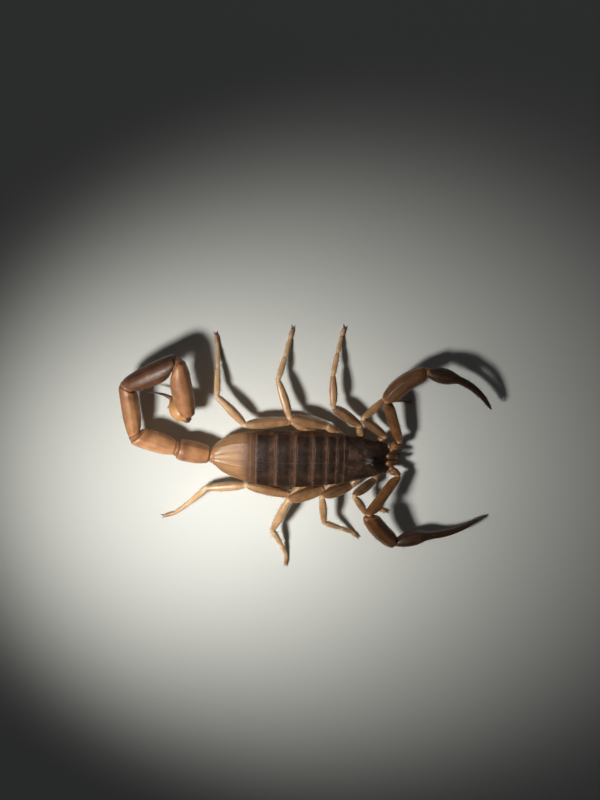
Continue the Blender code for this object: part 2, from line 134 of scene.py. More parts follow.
for lamp_name, (place, side, watts, spread, colour) in LAMPS.items():
    light = bpy.data.lights.new(lamp_name, "AREA")
    light.size, light.energy, light.color = side, watts, colour
    light.spread = math.radians(spread)
    lamp_object = bpy.data.objects.new(lamp_name, light)
    lamp_object.location = place
    aim = Vector(place) - Vector(LAMP_TARGET)
    lamp_object.rotation_euler = aim.to_track_quat("Z", "Y").to_euler()
    bpy.context.scene.collection.objects.link(lamp_object)

sky = bpy.data.worlds.new("pale_sky")
sky.use_nodes = True
sky_inputs = {"Color": (*SKY_COLOUR, 1), "Strength": SKY_STRENGTH}
feed(sky.node_tree, sky.node_tree.nodes["Background"], sky_inputs)
bpy.context.scene.world = sky
bpy.context.scene.view_settings.view_transform = "Standard"

camera_data = bpy.data.cameras.new("camera")
camera_data.lens = CAMERA_LENS
camera_data.clip_start = 0.005
camera = bpy.data.objects.new("camera", camera_data)
camera_up, camera_back = Vector(CAMERA_UP), Vector(CAMERA_BACK)
camera_turn = Matrix((camera_up.cross(camera_back), camera_up, camera_back)).transposed()
camera.matrix_world = Matrix.Translation(CAMERA_PLACE) @ camera_turn.to_4x4()
bpy.context.scene.collection.objects.link(camera)
bpy.context.scene.camera = camera

# ---------------------------------------------------------------------------------------------
# Carapace: the one-piece shield over head and legs. Thin, hard, dark cuticle, domed and finely
# granular, with a notch in its front edge, a groove down the middle and a low mound for the eyes.
# ---------------------------------------------------------------------------------------------
CARAPACE_FRONT = 11.0
CARAPACE_REAR = 5.1
CARAPACE_BASE = 2.25
CARAPACE_THICKNESS = 0.12
CARAPACE_NOTCH = 0.34
WAIST = 2.45
TRUNK_SQUARENESS = 2.4
TRUNK_OUTLINE = (  # x, sideways sway, half width, top, bottom
    (-12.0, -0.1, 1.4, 3.5, 1.9),
    (-11.0, -0.1, 2.05, 3.7, 1.65),
    (-9.2, -0.12, 2.95, 3.85, 1.35),
    (-6.6, -0.3, 3.55, 4.0, 1.1),
    (-5.0, -0.38, 3.75, 4.1, 1.05),
    (-1.9, -0.42, 3.8, 4.15, 1.2),
    (0.4, -0.4, 3.75, 4.15, 2.0),
    (2.9, -0.3, 3.55, 4.05, 2.05),
    (CARAPACE_REAR, -0.2, 3.3, 3.95, 2.05),
    (8.8, -0.05, 2.5, 3.75, 2.0),
    (CARAPACE_FRONT, 0.0, 1.9, 3.3, 2.0),
)
EYE_X = 8.85
EYE_Y = 0.33
EYE_RADIUS = 0.25
MOUND_HEIGHT = 0.33


def eased(low, high, value):
    """0 below low, 1 above high, and a smooth step between."""
    t = min(1.0, max(0.0, (value - low) / (high - low)))
    return t * t * (3 - 2 * t)


def bump_at(value, centre, width):
    """A smooth hump of height 1."""
    return math.exp(-(((value - centre) / width) ** 2))


def drawn(outline, place):
    """The measures of an outline at this place, on smooth curves through its rows."""
    place = min(outline[-1][0], max(outline[0][0], place))
    k = next(i for i in range(len(outline) - 1) if place <= outline[i + 1][0])
    a, b = outline[k], outline[k + 1]
    before, after = outline[max(0, k - 1)], outline[min(len(outline) - 1, k + 2)]
    span = b[0] - a[0]
    t = (place - a[0]) / span
    turn = 2 * t**3 - 3 * t**2
    measures = []
    for i in range(1, len(a)):
        rise_a = (b[i] - before[i]) / (b[0] - before[0]) * span
        rise_b = (after[i] - a[i]) / (after[0] - a[0]) * span
        slopes = (t**3 - 2 * t**2 + t) * rise_a + (t**3 - t**2) * rise_b
        measures.append((turn + 1) * a[i] - turn * b[i] + slopes)
    return measures


def squarer(value, squareness):
    """A sine or cosine pushed outwards, which makes a round section squarer."""
    return math.copysign(abs(value) ** (2 / squareness), value)


def on_trunk(x, angle, lift=0.0):
    """A point of the trunk's surface: angle 0 is the left side, 90 degrees the middle of the back."""
    sway, half_width, top, bottom = drawn(TRUNK_OUTLINE, x)
    half_width *= 1 - 0.22 * eased(10.6, 12.1, -x)  # rounded in to the root of the tail
    across = squarer(math.cos(angle), TRUNK_SQUARENESS)
    rise = squarer(math.sin(angle), TRUNK_SQUARENESS)
    height = top - WAIST if rise > 0 else WAIST - bottom
    return Vector((x, sway + across * (half_width + lift), WAIST + rise * (height + lift)))


def granules(point, per_mm, sharpness=0.42):
    """Scattered round grains of height up to 1."""
    near = noise.voronoi(point * per_mm)[0][0]
    return max(0.0, 1 - near / sharpness) ** 1.5


def mottle(point, per_mm):
    """Cloudy variation from about -1 to 1."""
    return noise.fractal(point * per_mm, 0.9, 2.1, 3)


def plate_mesh(columns, rows, place):
    """A sheet of columns by rows whose points are moved to place(along, across), both 0 to 1."""
    bm = bmesh.new()
    bmesh.ops.create_grid(bm, x_segments=columns, y_segments=rows, size=0.5)
    pigment = bm.verts.layers.float.new("pigment")
    for vert in bm.verts:
        vert.co, vert[pigment] = place(vert.co.x + 0.5, vert.co.y + 0.5)
    return bm


def thickened(bm, thickness, facing=1):
    """A sheet made a closed plate, grown inwards from its outer face, which faces up (1) or down (-1)."""
    bmesh.ops.recalc_face_normals(bm, faces=bm.faces)
    if facing * sum(face.normal.z * face.calc_area() for face in bm.faces) < 0:
        bmesh.ops.reverse_faces(bm, faces=bm.faces)
    bmesh.ops.solidify(bm, geom=bm.faces[:], thickness=thickness)
    return bm


def add_piece(bm, name, material, slot, *replaced):
    """The finished object of a mesh in millimetres, riding on the one body of the model."""
    bmesh.ops.transform(bm, matrix=Matrix.Scale(MM, 4), verts=bm.verts)
    mesh = bpy.data.meshes.new(name)
    bm.to_mesh(mesh)
    bm.free()
    mesh.shade_smooth()
    mesh.materials.append(material)
    obj = bpy.data.objects.new(name, mesh)
    bpy.context.scene.collection.objects.link(obj)
    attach(obj, "root")
    if replaced:
        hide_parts(*replaced)


def cuticle(name, tones, blotch, speckle, grain, grain_size, gloss, glow, shine=0.5):
    """Hard, slightly translucent shell: tones run from pale to dark along the pigment attribute.

    blotch and speckle vary the tone, in clouds and in specks. grain is the strength of the fine
    grains, and grain_size how many of them lie in a millimetre.
    """
    material, tree, shader = new_material(name)
    place = millimetres(tree)
    pigment = shader_node(tree, "Attribute", {}, attribute_name="pigment").outputs["Fac"]
    clouds = shader_node(tree, "TexNoise", {"Vector": place, "Scale": 0.9, "Detail": 4}).outputs["Fac"]
    specks = shader_node(
        tree, "TexNoise", {"Vector": place, "Scale": 5.5, "Detail": 5, "Roughness": 0.62}
    ).outputs["Fac"]
    for texture, amount in ((clouds, blotch), (specks, speckle)):
        centred = shader_node(tree, "Math", {0: texture, 1: 0.5}, operation="SUBTRACT")
        added = shader_node(
            tree, "Math", {0: centred.outputs[0], 1: 2 * amount, 2: pigment}, operation="MULTIPLY_ADD"
        )
        pigment = added.outputs[0]
    rough = shader_node(
        tree, "MapRange",
        {"Value": specks, "From Min": 0.3, "From Max": 0.7, "To Min": 0.34, "To Max": 0.5},
    )
    cells = shader_node(
        tree, "TexVoronoi", {"Vector": place, "Scale": grain_size}, feature="SMOOTH_F1"
    )
    relief = shader_node(
        tree, "Bump",
        {"Height": cells.outputs["Distance"], "Strength": grain, "Distance": 0.04 * MM}, invert=True,
    )
    skin = shader_node(
        tree, "Bump",
        {
            "Height": specks, "Strength": grain, "Distance": 0.03 * MM,
            "Normal": relief.outputs["Normal"],
        },
    )
    feed(tree, shader, {
        "Base Color": toned(tree, pigment, tones, "B_SPLINE"),
        "Roughness": rough.outputs["Result"],
        "Normal": skin.outputs["Normal"],
        "Specular IOR Level": shine,
        "Coat Weight": gloss,
        "Coat Roughness": 0.28,
        "Subsurface Weight": glow,
        "Subsurface Radius": (1.0, 0.45, 0.2),
        "Subsurface Scale": 0.6 * MM,
    })
    return material


DARK_SHELL = cuticle(
    "dark_back_shell",
    (
        (0.0, (0.3, 0.155, 0.088)), (0.35, (0.125, 0.064, 0.039)), (0.7, (0.034, 0.0195, 0.0135)),
        (1.0, (0.0085, 0.0055, 0.004)),
    ),
    blotch=0.16, speckle=0.18, grain=0.35, grain_size=7.0, gloss=0.0, glow=0.05, shine=0.17,
)


def on_carapace(along, across):
    """The shield's outer face. along runs from the front edge to the rear, across from left to right."""
    angle = math.pi * (0.02 + 0.96 * across)
    outward = math.cos(angle)
    front_edge = CARAPACE_FRONT - CARAPACE_NOTCH * math.exp(-((2.6 * outward) ** 2))
    front_edge -= 0.25 * max(0.0, abs(outward) - 0.8) / 0.2
    x = front_edge + (CARAPACE_REAR + 0.02 - front_edge) * along
    sway, half_width, top, _ = drawn(TRUNK_OUTLINE, x)
    sideways = squarer(outward, TRUNK_SQUARENESS)
    rise = squarer(math.sin(angle), TRUNK_SQUARENESS)
    lip = 0.72 + 0.28 * eased(0.0, 0.2, along)
    y = sway + sideways * half_width
    z = CARAPACE_BASE + rise * (top - CARAPACE_BASE) * lip
    point = Vector((x, y, z))
    side = abs(y - sway)
    # the eye mound with a brow inside each eye and a rim round it, the groove along the middle,
    # and the furrows behind
    mound = MOUND_HEIGHT * bump_at(x, EYE_X, 0.72) * bump_at(side, 0, 0.6)
    brow = 0.12 * bump_at(x, EYE_X + 0.02, 0.46) * bump_at(side, 0.15, 0.075)
    socket = math.hypot(x - EYE_X, side - EYE_Y)
    brow += 0.075 * bump_at(socket, EYE_RADIUS + 0.035, 0.06) * eased(0.25, 0.4, side)
    groove = 0.1 * bump_at(side, 0, 0.17) * eased(0.0, 0.12, along)
    groove *= 1 - 0.85 * bump_at(x, EYE_X, 0.5)
    groove += 0.07 * bump_at(side, 0, 0.06) * bump_at(x, EYE_X, 0.5)
    basin = 0.08 * bump_at(side, 0, 0.5) * bump_at(x, CARAPACE_REAR + 1.1, 0.75)
    flank_x = x - (EYE_X - 1.2 - 0.75 * (side - 1.0))
    furrow = 0.05 * bump_at(flank_x, 0, 0.34) * eased(0.55, 0.9, side) * (1 - eased(2.2, 2.7, side))
    rear_furrow = 0.05 * bump_at(x, CARAPACE_REAR + 0.55, 0.2) * eased(0.3, 0.8, side)
    keel = 0.045 * bump_at(side - 0.62 - 0.2 * (x - CARAPACE_REAR - 1.4), 0, 0.14)
    keel *= bump_at(x, CARAPACE_REAR + 1.5, 0.9)
    rim = 0.05 * (bump_at(along, 1.0, 0.03) + bump_at(rise, 0.25, 0.14))
    lift = mound + brow + keel + rim - groove - basin - furrow - rear_furrow
    grain = granules(point, 5.2) * 0.055 + granules(point + Vector((9, 3, 1)), 8.5) * 0.03
    grain *= 0.35 + 0.65 * min(1.0, 0.5 + 3 * (keel + brow + rim) + 0.5 * (mottle(point, 1.1) > -0.1))
    lift += 0.035 * mottle(point, 0.55) + grain
    point.z += lift * (0.45 + 0.55 * rise)
    point.y += math.copysign(lift * 0.4 * (1 - rise), sideways)
    # dark round the eyes and down the flanks, lighter towards the middle and on the raised rims
    pigment = 0.8 + 0.15 * mottle(point, 1.3) + 0.11 * mottle(point, 4.5)
    # the front round the eyes is darker partly in its own colour and partly as painted shade
    pigment += 0.24 * bump_at(x, EYE_X + 0.6, 1.3) * bump_at(side, 0, 1.2)
    pigment -= 0.14 * bump_at(x, CARAPACE_REAR + 1.6, 1.5) * (1 - eased(0.9, 2.2, side))
    pigment -= 0.25 * bump_at(along, 1.0, 0.025) + 0.22 * (1 - eased(0.12, 0.34, rise))
    # painted shade in the groove, basin and furrows, and painted highlights on the grain tips, which are
    # drawn lighter
    pigment += 0.12 * (groove + basin + furrow) / 0.16 - 1.2 * grain
    return point, pigment


carapace = thickened(plate_mesh(130, 150, on_carapace), CARAPACE_THICKNESS)
add_piece(carapace, "carapace_shield", DARK_SHELL, "shield_shell", "carapace")

# ---------------------------------------------------------------------------------------------
# Eyes: two large ones on the mound, and a row of three small ones on each front corner of the
# shield. Clear, hard lenses over black, seated in the shield's own rims.
# ---------------------------------------------------------------------------------------------
SIGN = {"l": 1, "r": -1}  # the left side is towards +Y
EYE_Z = 3.98
EYE_WAY = (0.25, 0.55, 0.8)
CORNER_EYE_WAY = (0.5, 0.7, 0.5)
CORNER_EYES = ((0.055, 0.105, 0.11), (0.125, 0.085, 0.1), (0.19, 0.07, 0.075))  # along, across, radius


def eye_material():
    """Black lens, a little brown in its depth, polished."""
    material, tree, shader = new_material("eye_lens")
    depth = shader_node(tree, "TexNoise", {"Vector": millimetres(tree), "Scale": 6.0, "Detail": 2})
    tones = ((0.0, (0.004, 0.003, 0.004)), (1.0, (0.03, 0.016, 0.01)))
    feed(tree, shader, {
        "Base Color": toned(tree, depth.outputs["Fac"], tones),
        "Roughness": 0.07,
        "Coat Weight": 1.0,
        "Coat Roughness": 0.03,
    })
    return material


EYE_LENS = eye_material()


def pointed(place, way):
    """The move that stands a shape at this place with its top along this way."""
    return Matrix.Translation(place) @ way.to_track_quat("Z", "Y").to_matrix().to_4x4()


def lens(centre, radius, way):
    """A domed lens: a ball drawn out a little along the way it looks, with a flattened back."""
    bm = bmesh.new()
    bmesh.ops.create_uvsphere(bm, u_segments=28, v_segments=18, radius=radius)
    back = [v for v in bm.verts if v.co.z < -0.3 * radius]
    bmesh.ops.scale(bm, vec=(0.9, 0.9, 0.6), verts=back)
    bmesh.ops.scale(bm, vec=(1, 1, 1.06), verts=bm.verts)
    bmesh.ops.transform(bm, matrix=pointed(centre, way), verts=bm.verts)
    return bm


def joined(parts):
    """Several meshes as one, with their pigment kept."""
    whole = bmesh.new()
    whole.verts.layers.float.new("pigment")
    for part in parts:
        carrier = bpy.data.meshes.new("carrier")
        part.to_mesh(carrier)
        part.free()
        whole.from_mesh(carrier)
        bpy.data.meshes.remove(carrier)
    return whole


for side, sign in SIGN.items():
    big_eye, eye_way, corner_way = (
        Vector((x, sign * y, z)) for x, y, z in ((EYE_X, EYE_Y, EYE_Z), EYE_WAY, CORNER_EYE_WAY)
    )
    add_piece(
        lens(big_eye, EYE_RADIUS, eye_way), f"large_eye_{side}", EYE_LENS, "eye_cuticle", f"eye_{side}"
    )
    row = []
    for along, across, radius in CORNER_EYES:
        spot, _ = on_carapace(along, across if sign > 0 else 1 - across)
        row.append(lens(spot, radius, corner_way))
    add_piece(joined(row), f"corner_eyes_{side}", EYE_LENS, "eye_cuticle")

# ---------------------------------------------------------------------------------------------
# Back plates: six overlapping plates, each hinged under the one ahead of it. Thin dark cuticle,
# granular towards the rear, with a smooth pale rear margin, pale side margins and a low keel
# along the middle.
# ---------------------------------------------------------------------------------------------
RING_LENGTHS = (0.95, 1.3, 1.8, 2.4, 2.5, 2.65, 5.4)
PLATE_OVERLAP = 0.25
PLATE_THICKNESS = 0.07
PALE_MARGINS = (0.2, 0.24, 0.3, 0.38, 0.4, 0.46)  # each plate's smooth rear margin
PALE_FRONTS = (0.15, 0.2, 0.3, 0.45, 0.55, 0.7)  # and its paler front


def round_back(across):
    """The angle on the trunk at this share of a plate's breadth, from side to side."""
    return math.pi * (0.015 + 0.97 * across)


def back_plate(number, front, rear):
    """One of the first six plates, from under its neighbour ahead to its own rear margin."""
    length = front - rear
    margin, pale_reach = PALE_MARGINS[number - 1], PALE_FRONTS[number - 1]
    start = front + PLATE_OVERLAP

    def place(along, across):
        angle = round_back(across)
        bow = 0.1 * (1 - abs(2 * across - 1) ** 3)
        x = start + (rear - start) * along - bow * along
        point = on_trunk(x, angle)
        side = abs(point.y - drawn(TRUNK_OUTLINE, x)[0])
        back = x - rear + bow
        rise = math.sin(angle)
        step = 0.13 * eased(0.0, 0.6, (front + 0.1 - x) / length) - 0.13
        step += 0.035 * bump_at(back, 0.07, 0.09)
        keel = 0.075 * bump_at(side, 0, 0.07) * eased(0.25, 0.7, 1 - back / length)
        keel += 0.02 * bump_at(side, 1.25, 0.1) * bump_at(back, 0.35 * length, 0.3 * length)
        crease = 0.03 * bump_at(back, margin + 0.05, 0.05)
        zone = eased(0.15, 0.45, 1 - back / length) * eased(0.6 * margin, margin, back)
        grain = zone * (granules(point, 6.0) * 0.04 + granules(point + Vector((5, 1, 7)), 10) * 0.02)
        row = 0.05 * bump_at(back, margin + 0.12, 0.07) * granules(point, 4.6, 0.5)
        hollow = 0.03 * bump_at(side, 2.1, 0.5) * bump_at(back, 0.55 * length, 0.3 * length)
        lift = step + keel + grain + row - crease - hollow
        point = on_trunk(x, angle, lift * (0.35 + 0.65 * rise))
        ragged = 0.08 * mottle(point, 2.6) + 0.03 * mottle(point, 9)
        pale_rear = 1 - eased(margin - 0.13, margin + 0.13, back + ragged)
        pale_side = 1 - eased(0.14, 0.54, rise + 0.8 * ragged)
        pale_front = 1 - eased(-0.22, 0.22, length - pale_reach - back - 2 * ragged)
        pigment = 0.85 + 0.09 * mottle(point, 1.3) + 0.05 * mottle(point, 4.0)
        pigment -= 0.16 * bump_at(side, 0, 0.075) * eased(margin * 0.6, margin, back)
        pigment -= 0.1 * bump_at(side, 1.9 + ragged, 0.45) * (1 - pale_rear)
        pigment -= pale_front * (0.2 - 0.12 * mottle(point, 1.6))
        pigment -= 0.46 * pale_rear * (1 - 0.35 * bump_at(back, 0.25 * margin, 0.16 * margin))
        pigment -= 0.42 * pale_side * (1 - pale_rear)
        # painted highlights: the grain tips are drawn lighter
        pigment += 0.12 * bump_at(back, 0.0, 0.04) - 1.8 * grain
        return point, pigment

    return thickened(plate_mesh(max(26, int(length * 30)), 190, place), PLATE_THICKNESS)


ring_front = CARAPACE_REAR
for number, length in enumerate(RING_LENGTHS[:6], start=1):
    plate = back_plate(number, ring_front, ring_front - length)
    add_piece(plate, f"back_plate_{number}", DARK_SHELL, "back_shell")
    ring_front -= length

# ---------------------------------------------------------------------------------------------
# Seventh back plate: the long last one, which narrows to the tail. Honey-coloured and nearly
# clear behind its brown front edge, with two pairs of granular keels.
# ---------------------------------------------------------------------------------------------
REAR_FRONT = ring_front
REAR_END = ring_front - RING_LENGTHS[6]
HONEY_SHELL = cuticle(
    "honey_shell",
    (
        (0.0, (0.44, 0.235, 0.1)), (0.3, (0.3, 0.152, 0.07)), (0.6, (0.16, 0.078, 0.04)),
        (1.0, (0.04, 0.022, 0.016)),
    ),
    blotch=0.1, speckle=0.09, grain=0.25, grain_size=6.0, gloss=0.12, glow=0.3, shine=0.38,
)


def on_rear_plate(along, across):
    """The outer face of the last back plate."""
    angle = round_back(across)
    x = REAR_FRONT + PLATE_OVERLAP + (REAR_END - REAR_FRONT - PLATE_OVERLAP) * along
    point = on_trunk(x, angle)
    sway, half_width, _, _ = drawn(TRUNK_OUTLINE, x)
    side = abs(point.y - sway) / half_width
    behind = REAR_FRONT - x
    rise = math.sin(angle)
    lift = -0.12 * (1 - eased(-0.1, 0.9, behind)) + 0.05 * bump_at(x, REAR_END + 0.12, 0.1)
    keels = bump_at(side, 0.3, 0.035) * eased(0.9, 1.8, behind) * (1 - eased(4.2, 4.9, behind))
    keels += bump_at(side, 0.66, 0.04) * eased(0.7, 1.5, behind) * (1 - eased(4.4, 5.1, behind))
    keels += 0.8 * bump_at(side, 0, 0.03) * eased(0.3, 0.7, behind) * (1 - eased(2.2, 3.0, behind))
    beads = 0.6 + 0.4 * math.sin(behind * 26)
    lift += 0.055 * keels * beads + 0.022 * granules(point, 6.5) * (1 - keels)
    lift -= 0.05 * bump_at(side, 0.15, 0.08) * eased(2.5, 4.5, behind)
    point = on_trunk(x, angle, lift * (0.4 + 0.6 * rise))
    ragged = 0.05 * mottle(point, 1.7) + 0.035 * mottle(point, 7)
    # a brown band in front, then a gold streaked blaze between browner flanks
    across_signed = side * math.copysign(1, point.y - sway)
    cloud = mottle(Vector((x, 3.4 * across_signed, 2.0)), 0.8)
    streak = mottle(Vector((0.3 * x, 5.5 * across_signed, 4.0)), 1.0)
    reach = behind + ragged + 0.25 * cloud
    pigment = 0.8 - 0.26 * eased(0.25, 0.5, behind + ragged) + 0.16 * eased(0.55, 0.8, behind + ragged)
    pigment -= 0.12 * eased(0.85, 1.1, behind + ragged)
    pigment -= 0.26 * eased(1.1, 2.3, reach + 0.5 * side**2) + 0.08 * eased(0.9, 1.6, reach)
    blaze = bump_at(side, 0, 0.5) * eased(1.0, 2.9, reach)
    pigment -= 0.22 * blaze * (1 - 0.45 * eased(3.6, 5.3, behind))
    pigment += (0.15 * streak + 0.09 * bump_at(side, 0.8, 0.2)) * eased(0.9, 2.2, behind) + 0.08 * keels
    pigment += 0.1 * cloud * (1 - eased(2.0, 4.0, behind)) - 0.08 * (1 - eased(0.1, 0.3, rise))
    return point, pigment


rear_plate = thickened(plate_mesh(150, 150, on_rear_plate), PLATE_THICKNESS)
add_piece(rear_plate, "back_plate_7", HONEY_SHELL, "rear_back_shell")

# ---------------------------------------------------------------------------------------------
# Body skin and belly plates: soft, finely pleated skin joins the back plates to five smooth plates
# under the belly. The first four have a pair of slit-like breathing holes, and the last low keels.
# ---------------------------------------------------------------------------------------------
SKIN_INSET = 0.17
BELLY_ENDS = (2.15, 1.0, -1.35, -3.85, REAR_FRONT, REAR_END)
HOLE_SIDE = 1.9


def drum(sides, rings):
    """A capped drum along +Z of radius 1, whose rings lie one unit apart from z = 0."""
    bm = bmesh.new()
    bmesh.ops.create_cone(bm, cap_ends=True, segments=sides, radius1=1, radius2=1, depth=rings - 1)
    bmesh.ops.translate(bm, verts=bm.verts, vec=(0, 0, (rings - 1) / 2))
    staves = [e for e in bm.edges if abs(e.verts[0].co.z - e.verts[1].co.z) > 0.5]
    bmesh.ops.subdivide_edges(bm, edges=staves, cuts=rings - 2)
    return bm


def lofted(sides, rings, place):
    """A closed drum whose points are moved to place(share, angle), with the rings closest at its ends."""
    bm = drum(sides, rings)
    pigment = bm.verts.layers.float.new("pigment")
    for vert in bm.verts:
        share = round(vert.co.z) / (rings - 1)
        share = 0.6 * share + 0.4 * (0.5 - 0.5 * math.cos(math.pi * share))
        vert.co, vert[pigment] = place(share, math.atan2(vert.co.y, vert.co.x))
    if bm.calc_volume(signed=True) < 0:
        bmesh.ops.reverse_faces(bm, faces=bm.faces)
    return bm


def on_skin(share, angle):
    """The soft tube inside the plates, pleated where it shows at the sides."""
    x = CARAPACE_REAR + 0.6 + (REAR_END - 0.05 - CARAPACE_REAR - 0.6) * share
    flank = bump_at(math.sin(angle), 0, 0.35)
    pleat = 0.035 * math.sin(x * 17 + 2 * mottle(Vector((x, angle, 0)), 1.5)) * flank
    closing = 0.35 + 0.65 * math.sqrt(max(0.0, 1 - max(0.0, (share - 0.97) / 0.03) ** 2))
    point = on_trunk(x, angle, -SKIN_INSET + 0.1 * flank + pleat)
    sway = drawn(TRUNK_OUTLINE, x)[0]
    point.y = sway + (point.y - sway) * closing
    point.z = WAIST + (point.z - WAIST) * closing
    # painted shade: the troughs of the pleats are drawn darker
    return point, 0.3 + 0.16 * mottle(point, 2.0) + 4 * max(0.0, -pleat)


def belly_plate(front, rear, holed):
    """A smooth plate under the belly with a breathing hole on each side, or else with four keels."""
    start = front + 0.2

    def place(along, across):
        angle = -math.pi * (0.085 + 0.83 * across)
        x = start + (rear - start) * along
        point = on_trunk(x, angle)
        side = abs(point.y - drawn(TRUNK_OUTLINE, x)[0])
        back = x - rear
        lift = -0.1 * (1 - eased(0.0, 0.5, front + 0.05 - x)) + 0.03 * bump_at(back, 0.06, 0.08)
        slit_x = x - (front - 0.55 * (front - rear)) - 0.35 * (side - HOLE_SIDE)
        slit = bump_at(slit_x, 0, 0.07) * bump_at(side, HOLE_SIDE, 0.42) * holed
        lip = bump_at(slit_x, 0, 0.2) * bump_at(side, HOLE_SIDE, 0.55) * holed
        keels = bump_at(side, 0.5, 0.05) + bump_at(side, 1.25, 0.06) * eased(1.6, 2.6, front - x)
        keels *= eased(0.9, 1.9, front - x) * eased(0.5, 1.3, back) * (not holed)
        lift += 0.05 * lip - 0.16 * slit + 0.035 * keels + 0.012 * granules(point, 5)
        point = on_trunk(x, angle, lift)
        # painted shade: the breathing slits are drawn dark
        pigment = 0.22 + 0.08 * mottle(point, 1.2) + 0.5 * slit + 0.14 * bump_at(back, 0.05, 0.07)
        return point, pigment + 0.1 * eased(2.4, 3.2, side) + 0.12 * keels

    return thickened(plate_mesh(max(30, int((start - rear) * 20)), 110, place), PLATE_THICKNESS, -1)


SOFT_SKIN = cuticle(
    "soft_skin",
    ((0.0, (0.62, 0.47, 0.31)), (0.5, (0.33, 0.21, 0.13)), (1.0, (0.1, 0.06, 0.04))),
    blotch=0.1, speckle=0.12, grain=0.4, grain_size=9.0, gloss=0.1, glow=0.3,
)
TAN_SHELL = cuticle(
    "tan_shell",
    (
        (0.0, (0.7, 0.5, 0.29)), (0.35, (0.47, 0.29, 0.14)), (0.7, (0.2, 0.11, 0.055)),
        (1.0, (0.05, 0.028, 0.018)),
    ),
    blotch=0.08, speckle=0.07, grain=0.2, grain_size=6.0, gloss=0.35, glow=0.25,
)
rings = [f"mesosoma_{number}" for number in range(1, 8)]
add_piece(lofted(72, 260, on_skin), "body_skin", SOFT_SKIN, "back_shell", *rings)
for number, (front, rear) in enumerate(zip(BELLY_ENDS, BELLY_ENDS[1:]), start=3):
    plate = belly_plate(front, rear, holed=number < 7)
    add_piece(plate, f"belly_plate_{number}", TAN_SHELL, "under_shell")

# ---------------------------------------------------------------------------------------------
# Tail: five keeled, hard segments that lengthen towards the sting, each rolled a little further to
# the inside of the curl. Rows of grains crown the keels, and each rear rim flares over the soft
# skin of the joint.
# ---------------------------------------------------------------------------------------------
CUT = 0.12
UP = Vector((0, 0, 1))
TAIL_ROOT = (-12.15, -0.15, 2.75)
TAIL_LENGTHS = (4.55, 5.7, 7.0, 7.25, 7.8)
TAIL_WIDTHS = (2.85, 2.7, 2.38, 2.9, 2.8)
TAIL_POSE = ((167, 6), (160, 7), (97, 8), (29, 9), (-79, -8))
TAIL_ROLL = (10, 45, 75, 85, 90)
TAIL_END_TRIM = 0.75
TAIL_END_SLANT = 0.65
TAIL_PROFILE = (
    (0, 0.62, 0.62), (0.1, 0.8, 0.8), (0.35, 0.96, 0.96), (0.65, 1.0, 1.0), (0.9, 0.95, 0.95),
    (1, 0.78, 0.78),
)
LAST_PROFILE = (
    (0, 0.72, 0.72), (0.08, 0.88, 0.88), (0.25, 1.0, 1.0), (0.55, 1.02, 1.0), (0.82, 0.88, 0.9),
    (1, 0.62, 0.66),
)
TAIL_SQUARENESS = 2.12
TAIL_KEELS = (38, 68, 98, 130, 161)  # degrees from the middle of the back, on each side
TAIL_KEEL_HEIGHTS = ((1, 0.7, 0.7, 0.8, 0.6), (1, 0.7, 0.5, 0.8, 0.7), (1, 0.7, 0.25, 0.9, 0.8),
                     (1, 0.6, 0, 0.9, 0.8), (0.7, 0, 0.3, 1, 0.5))
TAIL_BEADS = (20, 26, 30, 34, 38)
TAIL_TONE = (0.36, 0.24, 0.4, 0.8, 0.43)
TAIL_BRISTLES = 16
VESICLE_DROP = (0.62, 0.5)  # back along the last segment, and down
VESICLE_POSE = (136, -35)
VESICLE_LENGTH = 4.15
VESICLE_WIDTH = 2.85


def heading(azimuth, pitch):
    """Unit vector for a compass heading in plan, counted from +X towards +Y, and a pitch."""
    a, p = math.radians(azimuth), math.radians(pitch)
    return Vector((math.cos(p) * math.cos(a), math.cos(p) * math.sin(a), math.sin(p)))


def chain(root, lengths, pose):
    """The joints of a limb that starts at root."""
    joints = [Vector(root)]
    for length, held in zip(lengths, pose):
        joints.append(joints[-1] + heading(*held) * length)
    return joints


class Length:
    """A straight length of a limb between two joints, ended on the planes that bisect the bends."""

    def __init__(self, start, end, up, before=None, after=None, jut=None):
        """before and after are the headings of the lengths it meets, if it meets any."""
        self.start = start
        self.jut = jut
        self.along = (end - start).normalized()
        self.reach = (end - start).length
        self.side = self.along.cross(up).normalized()
        self.over = self.side.cross(self.along)
        self.near = self.along if before is None else (before + self.along).normalized()
        self.far = self.along if after is None else (self.along + after).normalized()

    def at(self, share, sideways, upward):
        """The point at a share of the length, off its axis by these millimetres."""
        offset = self.side * sideways + self.over * upward
        low = CUT / 2 - offset.dot(self.near) / self.along.dot(self.near)
        high = self.reach - CUT / 2 - offset.dot(self.far) / self.along.dot(self.far)
        if self.jut:  # the outer side of a bend is blunt, and juts no further than this
            low = -self.jut * math.tanh(-low / self.jut) if low < 0 else low
            past = high - self.reach
            high = self.reach + self.jut * math.tanh(past / self.jut) if past > 0 else high
        return self.start + offset + self.along * (low + share * (high - low))


def rounded_end(distance, depth):
    """How much of its width a length keeps this near its end, which is domed over that depth."""
    if distance >= depth:
        return 1.0
    return math.sqrt(max(0.0, 1 - (1 - max(0.0, distance) / depth) ** 2))


def degrees_from_top(angle):
    """Degrees round a limb from the middle of its back, the same on both sides."""
    return math.degrees(abs(math.atan2(math.cos(angle), math.sin(angle))))


def squarish(angle, squareness):
    """How far out a squarish section of half width 1 lies at this angle."""
    return (abs(math.cos(angle)) ** squareness + abs(math.sin(angle)) ** squareness) ** (-1 / squareness)


def tail_up(way, roll):
    """The direction of a segment's back, rolled towards the inside of the curl."""
    inward = way.cross(UP).normalized()
    level_up = inward.cross(way)
    r = math.radians(roll)
    return level_up * math.cos(r) + inward * math.sin(r)


